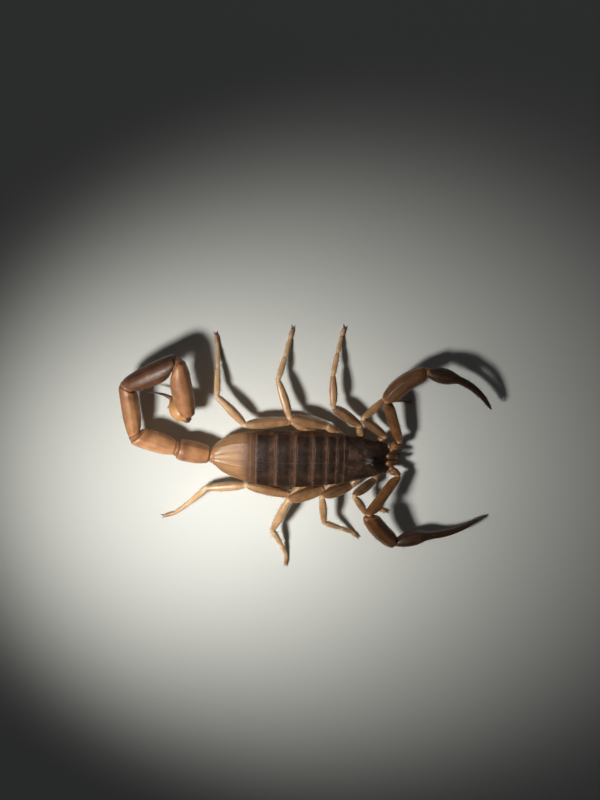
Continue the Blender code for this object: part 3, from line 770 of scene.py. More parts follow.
def tail_segment(index, length, width):
    """A segment's surface: beaded keels, smooth flanks, a trough along the back, a narrow front
    that tucks into the segment ahead and a rear rim that flares over the next one."""
    tuck = 0.34 if index else 0.1

    def place(share, angle):
        from_back = degrees_from_top(angle)
        near = share * (length.reach + tuck)
        far = length.reach + tuck - near
        along = (near - tuck) / length.reach
        wide, deep = drawn(LAST_PROFILE if index == 4 else TAIL_PROFILE, along)
        spot_on_shell = length.at(along, math.cos(angle) * width / 2, math.sin(angle) * width / 2)
        inside = eased(tuck + 0.1, tuck + 0.7, near) * eased(0.12, 0.4, far)
        crest = 0.0
        ridge = 0.0
        for spot, height in zip(TAIL_KEELS, TAIL_KEEL_HEIGHTS[index]):
            here = bump_at(from_back, spot + 2 * mottle(spot_on_shell, 0.8), 4.2) * height
            wander = 0.9 * mottle(spot_on_shell, 1.1)
            bead = 0.6 + 0.4 * math.cos(2 * math.pi * TAIL_BEADS[index] * along + spot + wander)
            crest += here * (bead + 0.8 * bump_at(far, 0.42, 0.22))
            ridge = max(ridge, here)
        trough = bump_at(from_back, 0, 21) * eased(0.02, 0.2, along)
        dip = 0.006 * (1 - ridge) * bump_at(from_back, 83, 60)
        swell = squarish(angle, TAIL_SQUARENESS)
        swell *= 0.985 + (0.034 * crest - 0.018 * trough - dip) * inside
        swell += 0.02 * bump_at(far, 0.26, 0.16) * (0.6 + 0.4 * ridge)
        swell -= 0.016 * bump_at(near - tuck, 0.62, 0.2)
        swell *= 0.72 + 0.28 * eased(tuck - 0.15, tuck + 0.5, near)
        swell *= 0.12 + 0.88 * rounded_end(near, 0.26) * rounded_end(far, 0.22)
        x, z = math.cos(angle) * wide * width / 2, math.sin(angle) * deep * width / 2
        point = length.at(along, x * swell, z * swell)
        grain = granules(point, 4.5) * 0.03 * (1 - ridge) * inside
        outward = (length.side * math.cos(angle) + length.over * math.sin(angle)).normalized()
        point += outward * (grain + 0.018 * mottle(point, 1.2) * inside)
        pigment = TAIL_TONE[index] + 0.13 * mottle(point, 0.8) + 0.11 * ridge * inside
        pigment += 0.08 * eased(95, 150, from_back) - 0.08 * bump_at(from_back, 84, 18) * inside
        pigment += 0.3 * bump_at(far, 0.1, 0.12) + 0.14 * bump_at(far, 0.9, 0.5)
        pigment += 0.28 * (1 - eased(tuck, tuck + 0.25, near)) - 0.1 * bump_at(near - tuck, 0.6, 0.25)
        pigment += 1.5 * grain
        return point, pigment

    return place


def joint_skin(centre, radii, axes, folds, tone):
    """The soft folded skin at a joint: a ball pleated round the limb."""
    bm = bmesh.new()
    bmesh.ops.create_uvsphere(bm, u_segments=40, v_segments=40, radius=1)
    pigment = bm.verts.layers.float.new("pigment")
    side, over, along = axes
    for vert in bm.verts:
        x, y, z = vert.co
        pleat = 1 + 0.014 * math.sin(folds * math.acos(max(-1.0, min(1.0, z))))
        # painted shade and highlight on the pleats: darker in their troughs, lighter on their crests
        vert[pigment] = tone - 5 * (pleat - 1) + 0.1 * mottle(vert.co, 2.0)
        vert.co = centre + (side * x * radii[0] + over * y * radii[1]) * pleat + along * z * radii[2]
    return bm


def painted(bm, tone):
    """The mesh with one pigment all over."""
    pigment = bm.verts.layers.float.new("pigment")
    for vert in bm.verts:
        vert[pigment] = tone
    return bm


def hairs(place, count, long, seed, thick=0.022, spread=(0.06, 0.94), lean=0.5, arc=(0.0, 360.0)):
    """Stiff bristles that lean towards the far end, scattered over a surface."""
    dice = random.Random(seed)
    bm = bmesh.new()
    for _ in range(count):
        share = dice.uniform(*spread)
        angle = math.radians(dice.uniform(*arc))
        foot = place(share, angle)[0]
        along = place(min(1.0, share + 0.02), angle)[0] - place(max(0.0, share - 0.02), angle)[0]
        around = place(share, angle + 0.06)[0] - foot
        out = along.cross(around)
        if out.length < 1e-9:
            continue
        jitter = Vector([dice.uniform(-0.25, 0.25) for _ in range(3)])
        way = (out.normalized() + along.normalized() * lean + jitter).normalized()
        reach = long * dice.uniform(0.55, 1.15)
        if (foot + way * reach).z < 0.03:
            continue
        bmesh.ops.create_cone(
            bm, cap_ends=True, segments=3, radius1=thick, radius2=thick * 0.2, depth=reach,
            matrix=pointed(foot + way * (reach / 2 - 0.02), way),
        )
    return painted(bm, 0.66)


RUST_SHELL = cuticle(
    "rust_shell",
    (
        (0.0, (0.72, 0.41, 0.21)), (0.3, (0.5, 0.24, 0.105)), (0.62, (0.2, 0.086, 0.042)),
        (1.0, (0.04, 0.017, 0.011)),
    ),
    blotch=0.1, speckle=0.07, grain=0.25, grain_size=6.0, gloss=0.07, glow=0.4, shine=0.35,
)

tail_joints = chain(TAIL_ROOT, TAIL_LENGTHS, TAIL_POSE)
tail_ways = [heading(*held) for held in TAIL_POSE]
bulb_way = heading(*VESICLE_POSE)
bulb_root = tail_joints[5] + tail_ways[4] * VESICLE_DROP[0] - UP * VESICLE_DROP[1]
shell_joints = tail_joints[:5] + [tail_joints[5] - tail_ways[4] * TAIL_END_TRIM]
end_ways = tail_ways + [(bulb_way + tail_ways[4] * TAIL_END_SLANT).normalized()]
for index, width in enumerate(TAIL_WIDTHS):
    before = tail_ways[index - 1] if index else None
    back = tail_up(tail_ways[index], TAIL_ROLL[index])
    length = Length(
        shell_joints[index], shell_joints[index + 1], back, before, end_ways[index + 1], jut=0.4
    )
    surface = tail_segment(index, length, width)
    bristles = hairs(surface, TAIL_BRISTLES, 0.5, 500 + index, 0.02, (0.2, 0.96), lean=0.3)
    segment = joined([lofted(112, 190, surface), bristles])
    number = index + 1
    add_piece(segment, f"tail_segment_{number}", RUST_SHELL, "tail_shell", f"metasoma_{number}")
    if index:
        bisector = (tail_ways[index - 1] + tail_ways[index]).normalized()
        across = bisector.cross(UP).normalized()
        girth = 0.36 * (TAIL_WIDTHS[index - 1] + width) / 2
        fold = joint_skin(
            tail_joints[index], (girth, girth, 0.6), (across, across.cross(bisector), bisector), 16, 0.5
        )
        add_piece(fold, f"tail_joint_{index}", RUST_SHELL, "tail_shell")
root_fold = joint_skin(
    Vector(TAIL_ROOT) + Vector((0.15, 0, 0)), (0.95, 0.8, 0.6),
    (Vector((0, 1, 0)), UP, Vector((1, 0, 0))), 14, 0.4,
)
add_piece(root_fold, "tail_root_joint", RUST_SHELL, "tail_shell")

# ---------------------------------------------------------------------------------------------
# Sting: a smooth glossy bulb with a small tooth under the sting's root, on soft skin at the end of
# the tail, and the needle, which curves to a fine dark point.
# ---------------------------------------------------------------------------------------------
VESICLE_PROFILE = (
    (0.0, 0.3, 0.3), (0.15, 0.5, 0.5), (0.3, 0.86, 0.86), (0.5, 1.0, 1.0), (0.7, 0.92, 0.95),
    (0.88, 0.6, 0.66), (1, 0.32, 0.32),
)
STING_LENGTH = 3.2
STING_WIDTH = 0.68
STING_TIP_WIDTH = 0.05
STING_PITCH = 2
STING_TURN = (10, 50)  # degrees from the bulb's heading, at its root and at its tip
STING_STEPS = 24
STING_INSET = 0.2
AMBER_SHELL = cuticle(
    "amber_shell",
    (
        (0.0, (0.66, 0.38, 0.17)), (0.35, (0.5, 0.235, 0.07)), (0.7, (0.17, 0.06, 0.02)),
        (1.0, (0.03, 0.011, 0.007)),
    ),
    blotch=0.1, speckle=0.06, grain=0.14, grain_size=5.0, gloss=0.16, glow=0.35, shine=0.42,
)


def sting_way(turn):
    """The needle's heading where it has turned by this much."""
    return heading(VESICLE_POSE[0] + turn, STING_PITCH)


bulb_end = bulb_root + bulb_way * VESICLE_LENGTH
bulb_length = Length(
    bulb_root, bulb_end, tail_up(bulb_way, TAIL_ROLL[4]), after=sting_way(STING_TURN[0])
)


def on_bulb(share, angle):
    """The bulb's surface, with a low keel and the small tooth on its underside."""
    wide, deep = drawn(VESICLE_PROFILE, share)
    from_back = degrees_from_top(angle)
    lower_keel = 0.035 * bump_at(from_back, 180, 9) * eased(0.15, 0.3, share)
    furrow = 0.02 * bump_at(from_back, 150, 9) * bump_at(share, 0.5, 0.25)
    tooth = 0.5 * bump_at(from_back, 180, 13) * bump_at(share, 0.9, 0.035)
    neck = rounded_end(share * bulb_length.reach, 0.2)
    swell = (1 + lower_keel - furrow + tooth) * (0.2 + 0.8 * neck)
    x, z = math.cos(angle) * wide * VESICLE_WIDTH / 2, math.sin(angle) * deep * VESICLE_WIDTH / 2
    point = bulb_length.at(share, x * swell, z * swell)
    pit = granules(point, 2.2, 0.3) * 0.03
    point -= (point - (bulb_root + bulb_way * share * VESICLE_LENGTH)).normalized() * pit
    pigment = 0.3 + 0.08 * mottle(point, 0.8) + 1.5 * lower_keel
    pigment -= 0.22 * bump_at(from_back, 110, 40) * bump_at(share, 0.5, 0.3)
    pigment += 0.35 * eased(0.8, 1.0, share) + 0.25 * (1 - eased(0.05, 0.2, share))
    return point, pigment


add_piece(lofted(72, 110, on_bulb), "sting_bulb", AMBER_SHELL, "bulb_shell", "telson_vesicle")


def sting_path(share):
    """The needle's axis: an arc that turns steadily away from the bulb's heading."""
    point = bulb_end - bulb_way * STING_INSET
    stride = (STING_LENGTH + STING_INSET) / STING_STEPS
    start, end = STING_TURN
    full_steps = int(share * STING_STEPS)
    for step in range(full_steps):
        point = point + sting_way(start + (end - start) * step / (STING_STEPS - 1)) * stride
    last_way = sting_way(start + (end - start) * share)
    return point + last_way * (stride * (share * STING_STEPS - full_steps))


def on_path(path, share, sideways, upward):
    """A point off a curved axis, square to it."""
    ahead, behind = path(min(1.0, share + 0.01)), path(max(0.0, share - 0.01))
    along = (ahead - behind).normalized()
    side = along.cross(UP).normalized()
    return path(share) + side * sideways + side.cross(along) * upward


def on_sting(share, angle):
    """The needle's surface, which tapers to a fine round point."""
    radius = (STING_WIDTH + (STING_TIP_WIDTH - STING_WIDTH) * share**0.8) / 2
    radius *= rounded_end((1 - share) * STING_LENGTH, 0.1) * 0.95 + 0.05
    point = on_path(sting_path, share, math.cos(angle) * radius, math.sin(angle) * radius)
    return point, 0.72 + 0.28 * eased(0.05, 0.45, share) + 0.04 * mottle(point, 3)


add_piece(lofted(28, 70, on_sting), "sting_needle", AMBER_SHELL, "sting_shell", "aculeus")
neck_way = (bulb_root - shell_joints[5]).normalized()
neck_side = bulb_way.cross(UP).normalized()
neck = (shell_joints[5] + bulb_root) / 2 + (bulb_way + tail_ways[4]) * 0.1
neck_axes = (neck_side, neck_side.cross(neck_way).normalized(), neck_way)
bulb_skin = joint_skin(neck, (0.4, 0.42, 0.75), neck_axes, 10, 0.88)
add_piece(bulb_skin, "sting_joint", AMBER_SHELL, "bulb_shell")

# ---------------------------------------------------------------------------------------------
# Legs: eight, each of a short trochanter, a flattened femur, a swollen patella, a slender tibia and
# a two-part foot with a pair of curved claws. Thin straw-coloured shell, browner on the femora,
# with soft pale skin at the joints and scattered stiff bristles.
# ---------------------------------------------------------------------------------------------
COXA_ROOT = {1: (8.9, 0.9), 2: (7.4, 1.0), 3: (5.9, 1.0), 4: (4.4, 1.0)}
COXA_END = {1: (9.6, 1.95), 2: (7.3, 2.75), 3: (4.4, 3.15), 4: (0.4, 3.6)}
COXA_HEIGHT = 1.65
LEG_LENGTHS = {
    1: (1.3, 3.9, 3.5, 1.8, 1.5, 1.2),
    2: (1.7, 4.5, 4.2, 2.8, 2.4, 1.2),
    3: (2.0, 5.2, 5.1, 3.0, 2.5, 1.6),
    4: (2.6, 6.1, 5.3, 3.5, 2.8, 1.75),
}
FEMUR_WIDTH = {1: 1.0, 2: 1.15, 3: 1.25, 4: 1.2}
PATELLA_WIDTH = {1: 0.85, 2: 0.9, 3: 1.0, 4: 1.0}
FULLNESS = 1.2  # how much fuller the rounded shell is than these widths
LIMB_SQUARENESS = 2.3
SOLE_HEIGHT = 0.15
LEG_PAINTED_SHADE = {1: 0.2, 2: 0.13, 3: 0.05, 4: 0.0}  # painted shade: the front legs are drawn darkest, the hind legs not at all
THIGH_BRISTLES, KNEE_BRISTLES, FOOT_BRISTLES = 34, 30, 26
CLAW_LENGTH = 0.42
CLAW_WIDTH = 0.14
LEG_ROOT = ((0, 0.6, 0.65), (0.5, 0.78, 0.85), (0.9, 0.66, 0.75))
LEG_THIGH = ((0.1, 0.78, 0.9), (0.45, 1.0, 1.15), (0.8, 0.92, 1.05), (1, 0.55, 0.7))
LEG_KNEE = ((0, 0.6, 0.65), (0.15, 0.85, 1.0), (0.45, 1.0, 1.1), (0.8, 0.8, 0.9), (1, 0.55, 0.65))
LEG_SHIN = ((0, 0.56, 0.62), (0.3, 0.66, 0.72), (1, 0.56, 0.6))
LEG_ANKLE = ((0.0, 0.5, 0.54), (0.3, 0.56, 0.6), (1, 0.48, 0.52))
LEG_FOOT = ((0.0, 0.46, 0.46), (0.35, 0.52, 0.52), (0.7, 0.48, 0.5), (1, 0.4, 0.44))
LEG_POSE = {
    "l1": ((57, 18), (138, 13), (44, -13), (-12, -35), (-12, -35), (-12, -12)),
    "r1": ((-105, 0), (-151, 41), (-61, -20), (-15, -54), (-15, -54), (-15, -10)),
    "l2": ((102, 10), (141, 13), (93, -5), (78, -27), (77, -27), (73, -11)),
    "r2": ((-130, 4), (-168, 32), (-85, -15), (-31, -31), (-33, -31), (-40, -11)),
    "l3": ((146, 5), (162, 15), (109, -6), (73, -26), (74, -26), (79, -9)),
    "r3": ((-140, 7), (-167, 19), (-114, -9), (-65, -27), (-69, -27), (-91, -8)),
    "l4": ((147, 4), (-177, 10), (134, 1), (90, -24), (92, -24), (100, -7)),
    "r4": ((-142, 5), (166, 8), (-172, -5), (-132, -17), (-136, -17), (-160, -8)),
}
LEG_SHELL = cuticle(
    "leg_shell",
    (
        (0.0, (0.74, 0.53, 0.33)), (0.3, (0.56, 0.33, 0.155)), (0.62, (0.25, 0.122, 0.052)),
        (1.0, (0.04, 0.019, 0.011)),
    ),
    blotch=0.12, speckle=0.1, grain=0.28, grain_size=7.0, gloss=0.22, glow=0.35,
)


def hip(spot, sign):
    """A point on one side of the underside, which sways with the trunk."""
    x, y = spot
    return Vector((x, drawn(TRUNK_OUTLINE, x)[0] + sign * y, COXA_HEIGHT))


def limb_surface(length, profile, width, domes, ribs, tone, floor=None, flutes=0.0, rough=0.018):
    """The surface of one hard length of a limb: place(share, angle), with a domed rim at each end.

    domes gives how deep the near and far ends are rounded, and ribs the low beaded keels as
    (degrees from the top, height).
    """

    def place(share, angle):
        wide, deep = drawn(profile, share)
        from_top = degrees_from_top(angle)
        near, far = share * length.reach, (1 - share) * length.reach
        inside = eased(0.2, 0.7, near) * eased(0.15, 0.5, far)
        ridge = 0.0
        for spot, height in ribs:
            ridge += height * bump_at(from_top, spot, 6) * inside
        beads = 0.8 + 0.2 * math.cos(near * 17 + from_top)
        hollow = flutes * bump_at(from_top, 90, 30) * inside
        swell = 1 + ridge * beads * 0.09 - hollow
        swell += 0.05 * bump_at(far, domes[1] * 0.6, 0.1) - 0.15 * domes[0] * bump_at(near, 0.26, 0.12)
        swell *= 0.15 + 0.85 * rounded_end(near, domes[0]) * rounded_end(far, domes[1])
        swell *= squarish(angle, LIMB_SQUARENESS)
        x, z = math.cos(angle) * wide * width / 2, math.sin(angle) * deep * width / 2
        point = length.at(share, x * swell, z * swell)
        grain = granules(point, 6.0) * rough * inside
        point += (length.side * math.cos(angle) + length.over * math.sin(angle)) * grain
        if floor is not None:
            point.z = max(point.z, floor)
        pigment = tone + 0.12 * mottle(point, 1.1) + 0.1 * ridge + 1.5 * grain
        pigment += 0.1 * bump_at(from_top, 0, 40) * inside - 0.06 * bump_at(from_top, 180, 50)
        pigment -= 0.16 * bump_at(near, 0.3, 0.22) - 0.3 * bump_at(far, 0.05, 0.07)
        pigment += 0.12 * bump_at(near, 0.04, 0.06)
        return point, pigment

    return place


def hook(root, way, bend, long, thick, tones, floor=None):
    """A claw: a cone that curves from its root along way and then towards bend."""

    def path(share):
        return root + way * (long * share) + bend * (long * share * share)

    def place(share, angle):
        radius = thick / 2 * (1 - 0.92 * share**1.3) * rounded_end(share * long, 0.05)
        point = on_path(path, share, math.cos(angle) * radius, math.sin(angle) * radius)
        if floor is not None:
            point.z = max(point.z, floor)
        return point, tones[0] + (tones[1] - tones[0]) * eased(0.1, 0.7, share)

    return lofted(12, 16, place)


def joint_ball(centre, width, before, after, tone=0.1):
    """The soft skin between two lengths of a limb, which shows as a pale ring at the bend."""
    bisector = (before + after).normalized()
    side = bisector.cross(UP).normalized()
    over = side.cross(bisector)
    radii = (width * 0.4, width * 0.42, width * 0.55)
    return joint_skin(centre, radii, (side, over, bisector), 12, tone)


for side, sign in SIGN.items():
    for number, lengths in LEG_LENGTHS.items():
        name = side + str(number)
        seed = 10 * number + (sign > 0)
        joints = [hip(COXA_ROOT[number], sign)]
        joints += chain(hip(COXA_END[number], sign), lengths, LEG_POSE[name])
        joints[-1].z = SOLE_HEIGHT
        ways = [(b - a).normalized() for a, b in zip(joints, joints[1:])]
        femur, patella = FULLNESS * FEMUR_WIDTH[number], FULLNESS * PATELLA_WIDTH[number]

        def span(index):
            """The limb's length of this number, ended on the planes of its bends."""
            after = ways[index + 1] if index + 1 < len(ways) else None
            return Length(joints[index], joints[index + 1], UP, ways[index - 1], after)

        # painted shade, darkest on the front legs
        tone = LEG_PAINTED_SHADE[number]
        root = limb_surface(span(1), LEG_ROOT, femur, (0.25, 0.25), (), 0.44 + tone)
        thigh = limb_surface(
            span(2), LEG_THIGH, femur, (0.3, 0.3), ((30, 1.0), (148, 0.8)), 0.46 + tone, flutes=0.05
        )
        piece = joined([
            lofted(36, 30, root), lofted(44, 96, thigh),
            joint_ball(joints[1], femur * 0.8, ways[0], ways[1], 0.3 + tone),
            joint_ball(joints[2], femur * 0.85, ways[1], ways[2], 0.2 + tone),
            hairs(thigh, THIGH_BRISTLES, 0.34, seed), hairs(root, 10, 0.3, seed + 1),
        ])
        add_piece(piece, f"leg_{name}_thigh", LEG_SHELL, "leg_shell", f"femur_{name}")

        knee = limb_surface(
            span(3), LEG_KNEE, patella, (0.28, 0.3), ((34, 0.7), (146, 0.7)), 0.26 + tone, flutes=0.03
        )
        piece = joined([
            lofted(44, 90, knee), joint_ball(joints[3], patella * 0.86, ways[2], ways[3], 0.12 + tone),
            hairs(knee, KNEE_BRISTLES, 0.36, seed + 2),
        ])
        add_piece(piece, f"leg_{name}_knee", LEG_SHELL, "leg_shell", f"patella_{name}")

        shin = limb_surface(
            span(4), LEG_SHIN, patella, (0.16, 0.1), ((40, 0.3),), 0.15 + 0.4 * tone, floor=0
        )
        ankle = limb_surface(span(5), LEG_ANKLE, 1.0, (0.1, 0.08), (), 0.16 + 0.2 * tone, floor=0)
        foot = limb_surface(span(6), LEG_FOOT, 1.0, (0.1, 0.2), (), 0.46, floor=0)
        parts = [
            lofted(32, 56, shin), lofted(28, 44, ankle), lofted(28, 40, foot),
            joint_ball(joints[4], patella * 0.72, ways[3], ways[4]),
            joint_ball(joints[5], patella * 0.5, ways[4], ways[5], 0.16),
            joint_ball(joints[6], patella * 0.46, ways[5], ways[6], 0.2),
            hairs(shin, FOOT_BRISTLES, 0.42, seed + 3, arc=(150, 390)),
            hairs(ankle, FOOT_BRISTLES, 0.34, seed + 4, arc=(150, 390)),
            hairs(foot, FOOT_BRISTLES, 0.26, seed + 5, lean=0.9),
        ]
        forward = Vector((ways[6].x, ways[6].y, 0)).normalized()
        sideways = forward.cross(UP)
        tip = joints[7] - forward * 0.12 + UP * 0.08
        for turn in (-1, 1):
            way = (forward + sideways * turn * 0.4 + UP * 0.35).normalized()
            bend = forward * 0.2 - UP * 0.85 + sideways * turn * 0.1
            claw_root = tip + sideways * turn * 0.08
            parts.append(hook(claw_root, way, bend, CLAW_LENGTH, CLAW_WIDTH, (0.7, 1.0), floor=0))
        spur_way = (forward - UP * 0.7).normalized()
        parts.append(
            hook(joints[6] - UP * 0.05, spur_way, forward * 0.2, 0.3, 0.09, (0.5, 0.9), floor=0)
        )
        add_piece(joined(parts), f"leg_{name}_shank", LEG_SHELL, "leg_shell", f"shank_{name}")

# ---------------------------------------------------------------------------------------------
# Pedipalps: two long arms held in front, each with a swollen palm, a fixed finger that grows from
# it and a movable one hinged in its far end. Dark brown granular shell with strong keels on the
# arm, and rows of small dark teeth where the fingers meet.
# ---------------------------------------------------------------------------------------------
PALP_ROOT = (11.35, 1.35, 2.45)
PALP_LENGTHS = (1.35, 6.4, 6.4, 3.9)
PALP_WIDTHS = (1.2, 1.45, 2.15, 1.98)
PATELLA_BEND = {"l": 0.55, "r": 0.38}
PALP_PARTS = {  # profile, keels, tone, rings of the mesh, bristles
    "trochanter": (
        ((0, 0.7, 0.75), (0.5, 1.0, 1.0), (1, 0.8, 0.9)),
        ((35, 0.8), (145, 0.8)), 0.54, 36, 14,
    ),
    "femur": (
        ((0, 0.6, 0.7), (0.15, 0.85, 0.9), (0.6, 0.95, 1.0), (0.88, 1.0, 1.0), (1, 0.7, 0.8)),
        ((40, 1.2), (90, 0.5), (138, 1.1)), 0.54, 130, 40,
    ),
    "patella": (
        ((0, 0.6, 0.62), (0.12, 0.88, 0.88), (0.42, 1.04, 1.0), (0.85, 0.9, 0.87), (1, 0.62, 0.62)),
        ((22, 0.8), (66, 0.7), (112, 0.6), (150, 0.8)), 0.62, 130, 40,
    ),
}
PALP_POSE = {
    "l": ((50, 3), (108, 13), (40, 4), (-14, -9)),
    "r": ((-50, 5), (-130, 28), (-52, -20), (12, -13)),
}
PALM_PROFILE = (
    (0, 1.0, 1.0), (0.035, 1.32, 1.36), (0.12, 1.86, 1.9), (0.22, 2.02, 2.05), (0.29, 1.78, 1.84),
    (0.37, 1.2, 1.3), (0.44, 0.98, 1.02), (0.6, 0.92, 0.92), (0.8, 0.72, 0.72), (0.94, 0.48, 0.48),
    (1, 0.28, 0.28),
)
FINGER_PROFILE = (
    (0, 0.7, 0.8), (0.08, 0.9, 0.96), (0.14, 0.94, 1.0), (0.24, 0.82, 0.88), (0.45, 0.72, 0.78),
    (0.75, 0.56, 0.6), (0.92, 0.38, 0.42), (1, 0.24, 0.26),
)
FINGER_TIPS = {"l": (23.8, 7.2, 2.3), "r": (23.35, -8.55, 1.3)}
FINGER_BOW = {"l": (0.25, 0.5, 0.1), "r": (0.1, -0.6, 0.0)}
FINGER_SPREAD = {  # from the lower finger to the upper one, at the knuckle and at the tips
    "l": ((0.35, 0.2, 0.95), (-0.05, 0.1, 0.55)),
    "r": ((0.1, 0.2, 0.95), (0.0, 0.1, 0.55)),
}
FINGER_HEEL_DROP = 0.9
FINGER_HEEL_BACK = 0.2
HINGE_DROP = 0.5
HINGE_BACK = 1.15
FINGER_TEETH = 26
PALM_KEELS = (18, 52, 88, 126, 160)
PALP_SHELL = cuticle(
    "palp_shell",
    (
        (0.0, (0.55, 0.28, 0.115)), (0.35, (0.32, 0.135, 0.042)), (0.68, (0.105, 0.044, 0.016)),
        (1.0, (0.016, 0.008, 0.006)),
    ),
    blotch=0.12, speckle=0.1, grain=0.3, grain_size=6.0, gloss=0.12, glow=0.15, shine=0.4,
)


def softened(corners, reach):
    """A path through these corners, rounded over the reach at each, and its length."""
    lengths = [(b - a).length for a, b in zip(corners, corners[1:])]
    whole = sum(lengths)

    def straight(distance):
        distance = min(whole, max(0.0, distance))
        for a, b, length in zip(corners, corners[1:], lengths):
            if distance <= length:
                return a.lerp(b, distance / length)
            distance -= length
        return corners[-1].copy()

    def path(share):
        middle = share * whole
        spread = min(reach, middle, whole - middle)
        found = Vector((0, 0, 0))
        for step in range(-3, 4):
            found += straight(middle + spread * step / 3)
        return found / 7

    return path, whole


def bowed(start, end, bow):
    """Points of a shallow arc from start to end."""
    return [start.lerp(end, k / 10) + bow * (4 * k / 10 * (1 - k / 10)) for k in range(11)]


def finger_surface(path, whole, profile, tone, palm_end=0.0):
    """A tapering finger round a path, with a hooked dark point. The palm's share of it is keeled."""

    def place(share, angle):
        wide, deep = drawn(profile, share)
        from_top = degrees_from_top(angle)
        far = (1 - share) * whole
        dome = rounded_end(share * whole, 0.3) * (0.12 + 0.88 * rounded_end(far, 0.5))
        on_palm = 1 - eased(0.8 * palm_end, 1.15 * palm_end, share) if palm_end else 0.0
        ridge = sum(bump_at(from_top, spot, 6) for spot in PALM_KEELS)
        ridge *= on_palm * eased(0.02, 0.08, share)
        swell = dome * (1 + 0.045 * ridge * (0.6 + 0.4 * math.cos(share * whole * 15)))
        x, z = math.cos(angle) * wide * swell / 2, math.sin(angle) * deep * swell / 2
        point = on_path(path, share, x, z)
        grain = granules(point, 5.5) * 0.022 * (0.4 + 0.6 * on_palm)
        point += (point - path(share)).normalized() * grain
        pigment = tone + 0.09 * mottle(point, 1.0) + 0.14 * ridge - grain
        pigment += 0.2 * eased(0.7 * palm_end, 1.3 * palm_end + 0.05, share)
        pigment += 0.3 * (1 - eased(0.3, 1.4, far))
        return point, pigment

    return place


def finger_teeth(path, facing, across, spread, widths):
    """A row of small teeth along the inner face of a finger, larger at every fifth, as one mesh."""
    bm = bmesh.new()
    for k in range(FINGER_TEETH):
        share = spread[0] + (spread[1] - spread[0]) * k / (FINGER_TEETH - 1)
        big = 1.5 if k % 5 == 0 else 1.0
        radius = (widths[0] + (widths[1] - widths[0]) * share) / 2
        root = path(share) + facing * (radius * 0.93) + across * (0.05 * (-1) ** k)
        bmesh.ops.create_cone(
            bm, cap_ends=True, segments=6, radius1=0.06 * big, radius2=0.018, depth=0.1 * big,
            matrix=pointed(root, facing),
        )
    return painted(bm, 0.98)


def bent(surface, shift):
    """The same surface with its middle moved by this much, as place(share, angle)."""

    def place(share, angle):
        point, pigment = surface(share, angle)
        return point + shift * math.sin(math.pi * min(1.0, max(0.0, share))), pigment

    return place


for side, sign in SIGN.items():
    joints = chain((PALP_ROOT[0], sign * PALP_ROOT[1], PALP_ROOT[2]), PALP_LENGTHS, PALP_POSE[side])
    ways = [heading(*held) for held in PALP_POSE[side]]
    seed = 200 + 20 * (sign > 0)
    for i, (part, (profile, keels, tone, mesh_rings, bristles)) in enumerate(PALP_PARTS.items()):
        length = Length(joints[i], joints[i + 1], UP, ways[i - 1] if i else None, ways[i + 1])
        surface = limb_surface(
            length, profile, PALP_WIDTHS[i], (0.35, 0.35), keels, tone, flutes=0.04, rough=0.034
        )
        if part == "patella":
            inward = heading(PALP_POSE[side][2][0] + 90 * sign, 0)
            surface = bent(surface, inward * PATELLA_BEND[side])
        ahead = max(0, i - 1)
        girth = 0.8 * min(PALP_WIDTHS[ahead : i + 1])
        parts = [
            lofted(64, mesh_rings, surface),
            joint_ball(joints[i], girth, ways[ahead], ways[i], 0.3 if i else 0.5),
            hairs(surface, bristles, 0.42, seed + i, 0.024),
        ]
        name = f"{part}_{side}"
        add_piece(joined(parts), f"arm_{name}", PALP_SHELL, "palp_shell", f"palp_{name}")

    wrist, knuckle = joints[3:]
    spread, tip_spread = (Vector(v) for v in FINGER_SPREAD[side])
    tip, bow = Vector(FINGER_TIPS[side]), Vector(FINGER_BOW[side])
    arc = bowed(knuckle + spread / 2, tip + tip_spread / 2, bow)
    path, whole = softened([wrist, wrist.lerp(knuckle, 0.75), *arc], 1.1)
    # the hand is drawn darker than the arm, partly its own colour and partly painted shade
    palm = finger_surface(path, whole, PALM_PROFILE, 0.88, palm_end=PALP_LENGTHS[3] / whole)
    facing = -spread.normalized()
    across = facing.cross(ways[3]).normalized()
    tip_way = (path(1) - path(0.97)).normalized()
    parts = [
        lofted(64, 190, palm), hook(path(0.985), tip_way, facing * 0.55, 0.42, 0.3, (0.9, 1.0)),
        finger_teeth(path, facing, across, (0.44, 0.96), (1.1, 0.36)),
        joint_ball(wrist, 1.25, ways[2], ways[3], 0.3),
        hairs(palm, 60, 0.42, seed + 5, 0.024, (0.04, 0.5)),
        hairs(palm, 60, 0.3, seed + 6, 0.018, (0.45, 0.97)),
    ]
    add_piece(joined(parts), f"hand_{side}", PALP_SHELL, "claw_shell", f"palp_palm_{side}")

    heel = knuckle - spread * FINGER_HEEL_DROP - ways[3] * FINGER_HEEL_BACK
    arc = bowed(heel, tip - tip_spread / 2, bow)
    hinge = knuckle - spread * HINGE_DROP - ways[3] * HINGE_BACK
    path, whole = softened([hinge, *arc], 0.6)
    # the moving finger is drawn dark, partly its own colour and partly painted shade
    finger = finger_surface(path, whole, FINGER_PROFILE, 0.92)
    tip_way = (path(1) - path(0.97)).normalized()
    parts = [
        lofted(48, 140, finger), hook(path(0.98), tip_way, facing * -0.45, 0.4, 0.28, (0.9, 1.0)),
        joint_ball(hinge.lerp(heel, 0.42), 1.3, (heel - hinge).normalized(), ways[3], 0.62),
        finger_teeth(path, -facing, across, (0.24, 0.94), (0.9, 0.34)),
        hairs(finger, 70, 0.32, seed + 7, 0.018, (0.2, 0.95)),
    ]
    name = f"finger_{side}"
    add_piece(joined(parts), f"moving_{name}", PALP_SHELL, "claw_shell", f"palp_{name}")

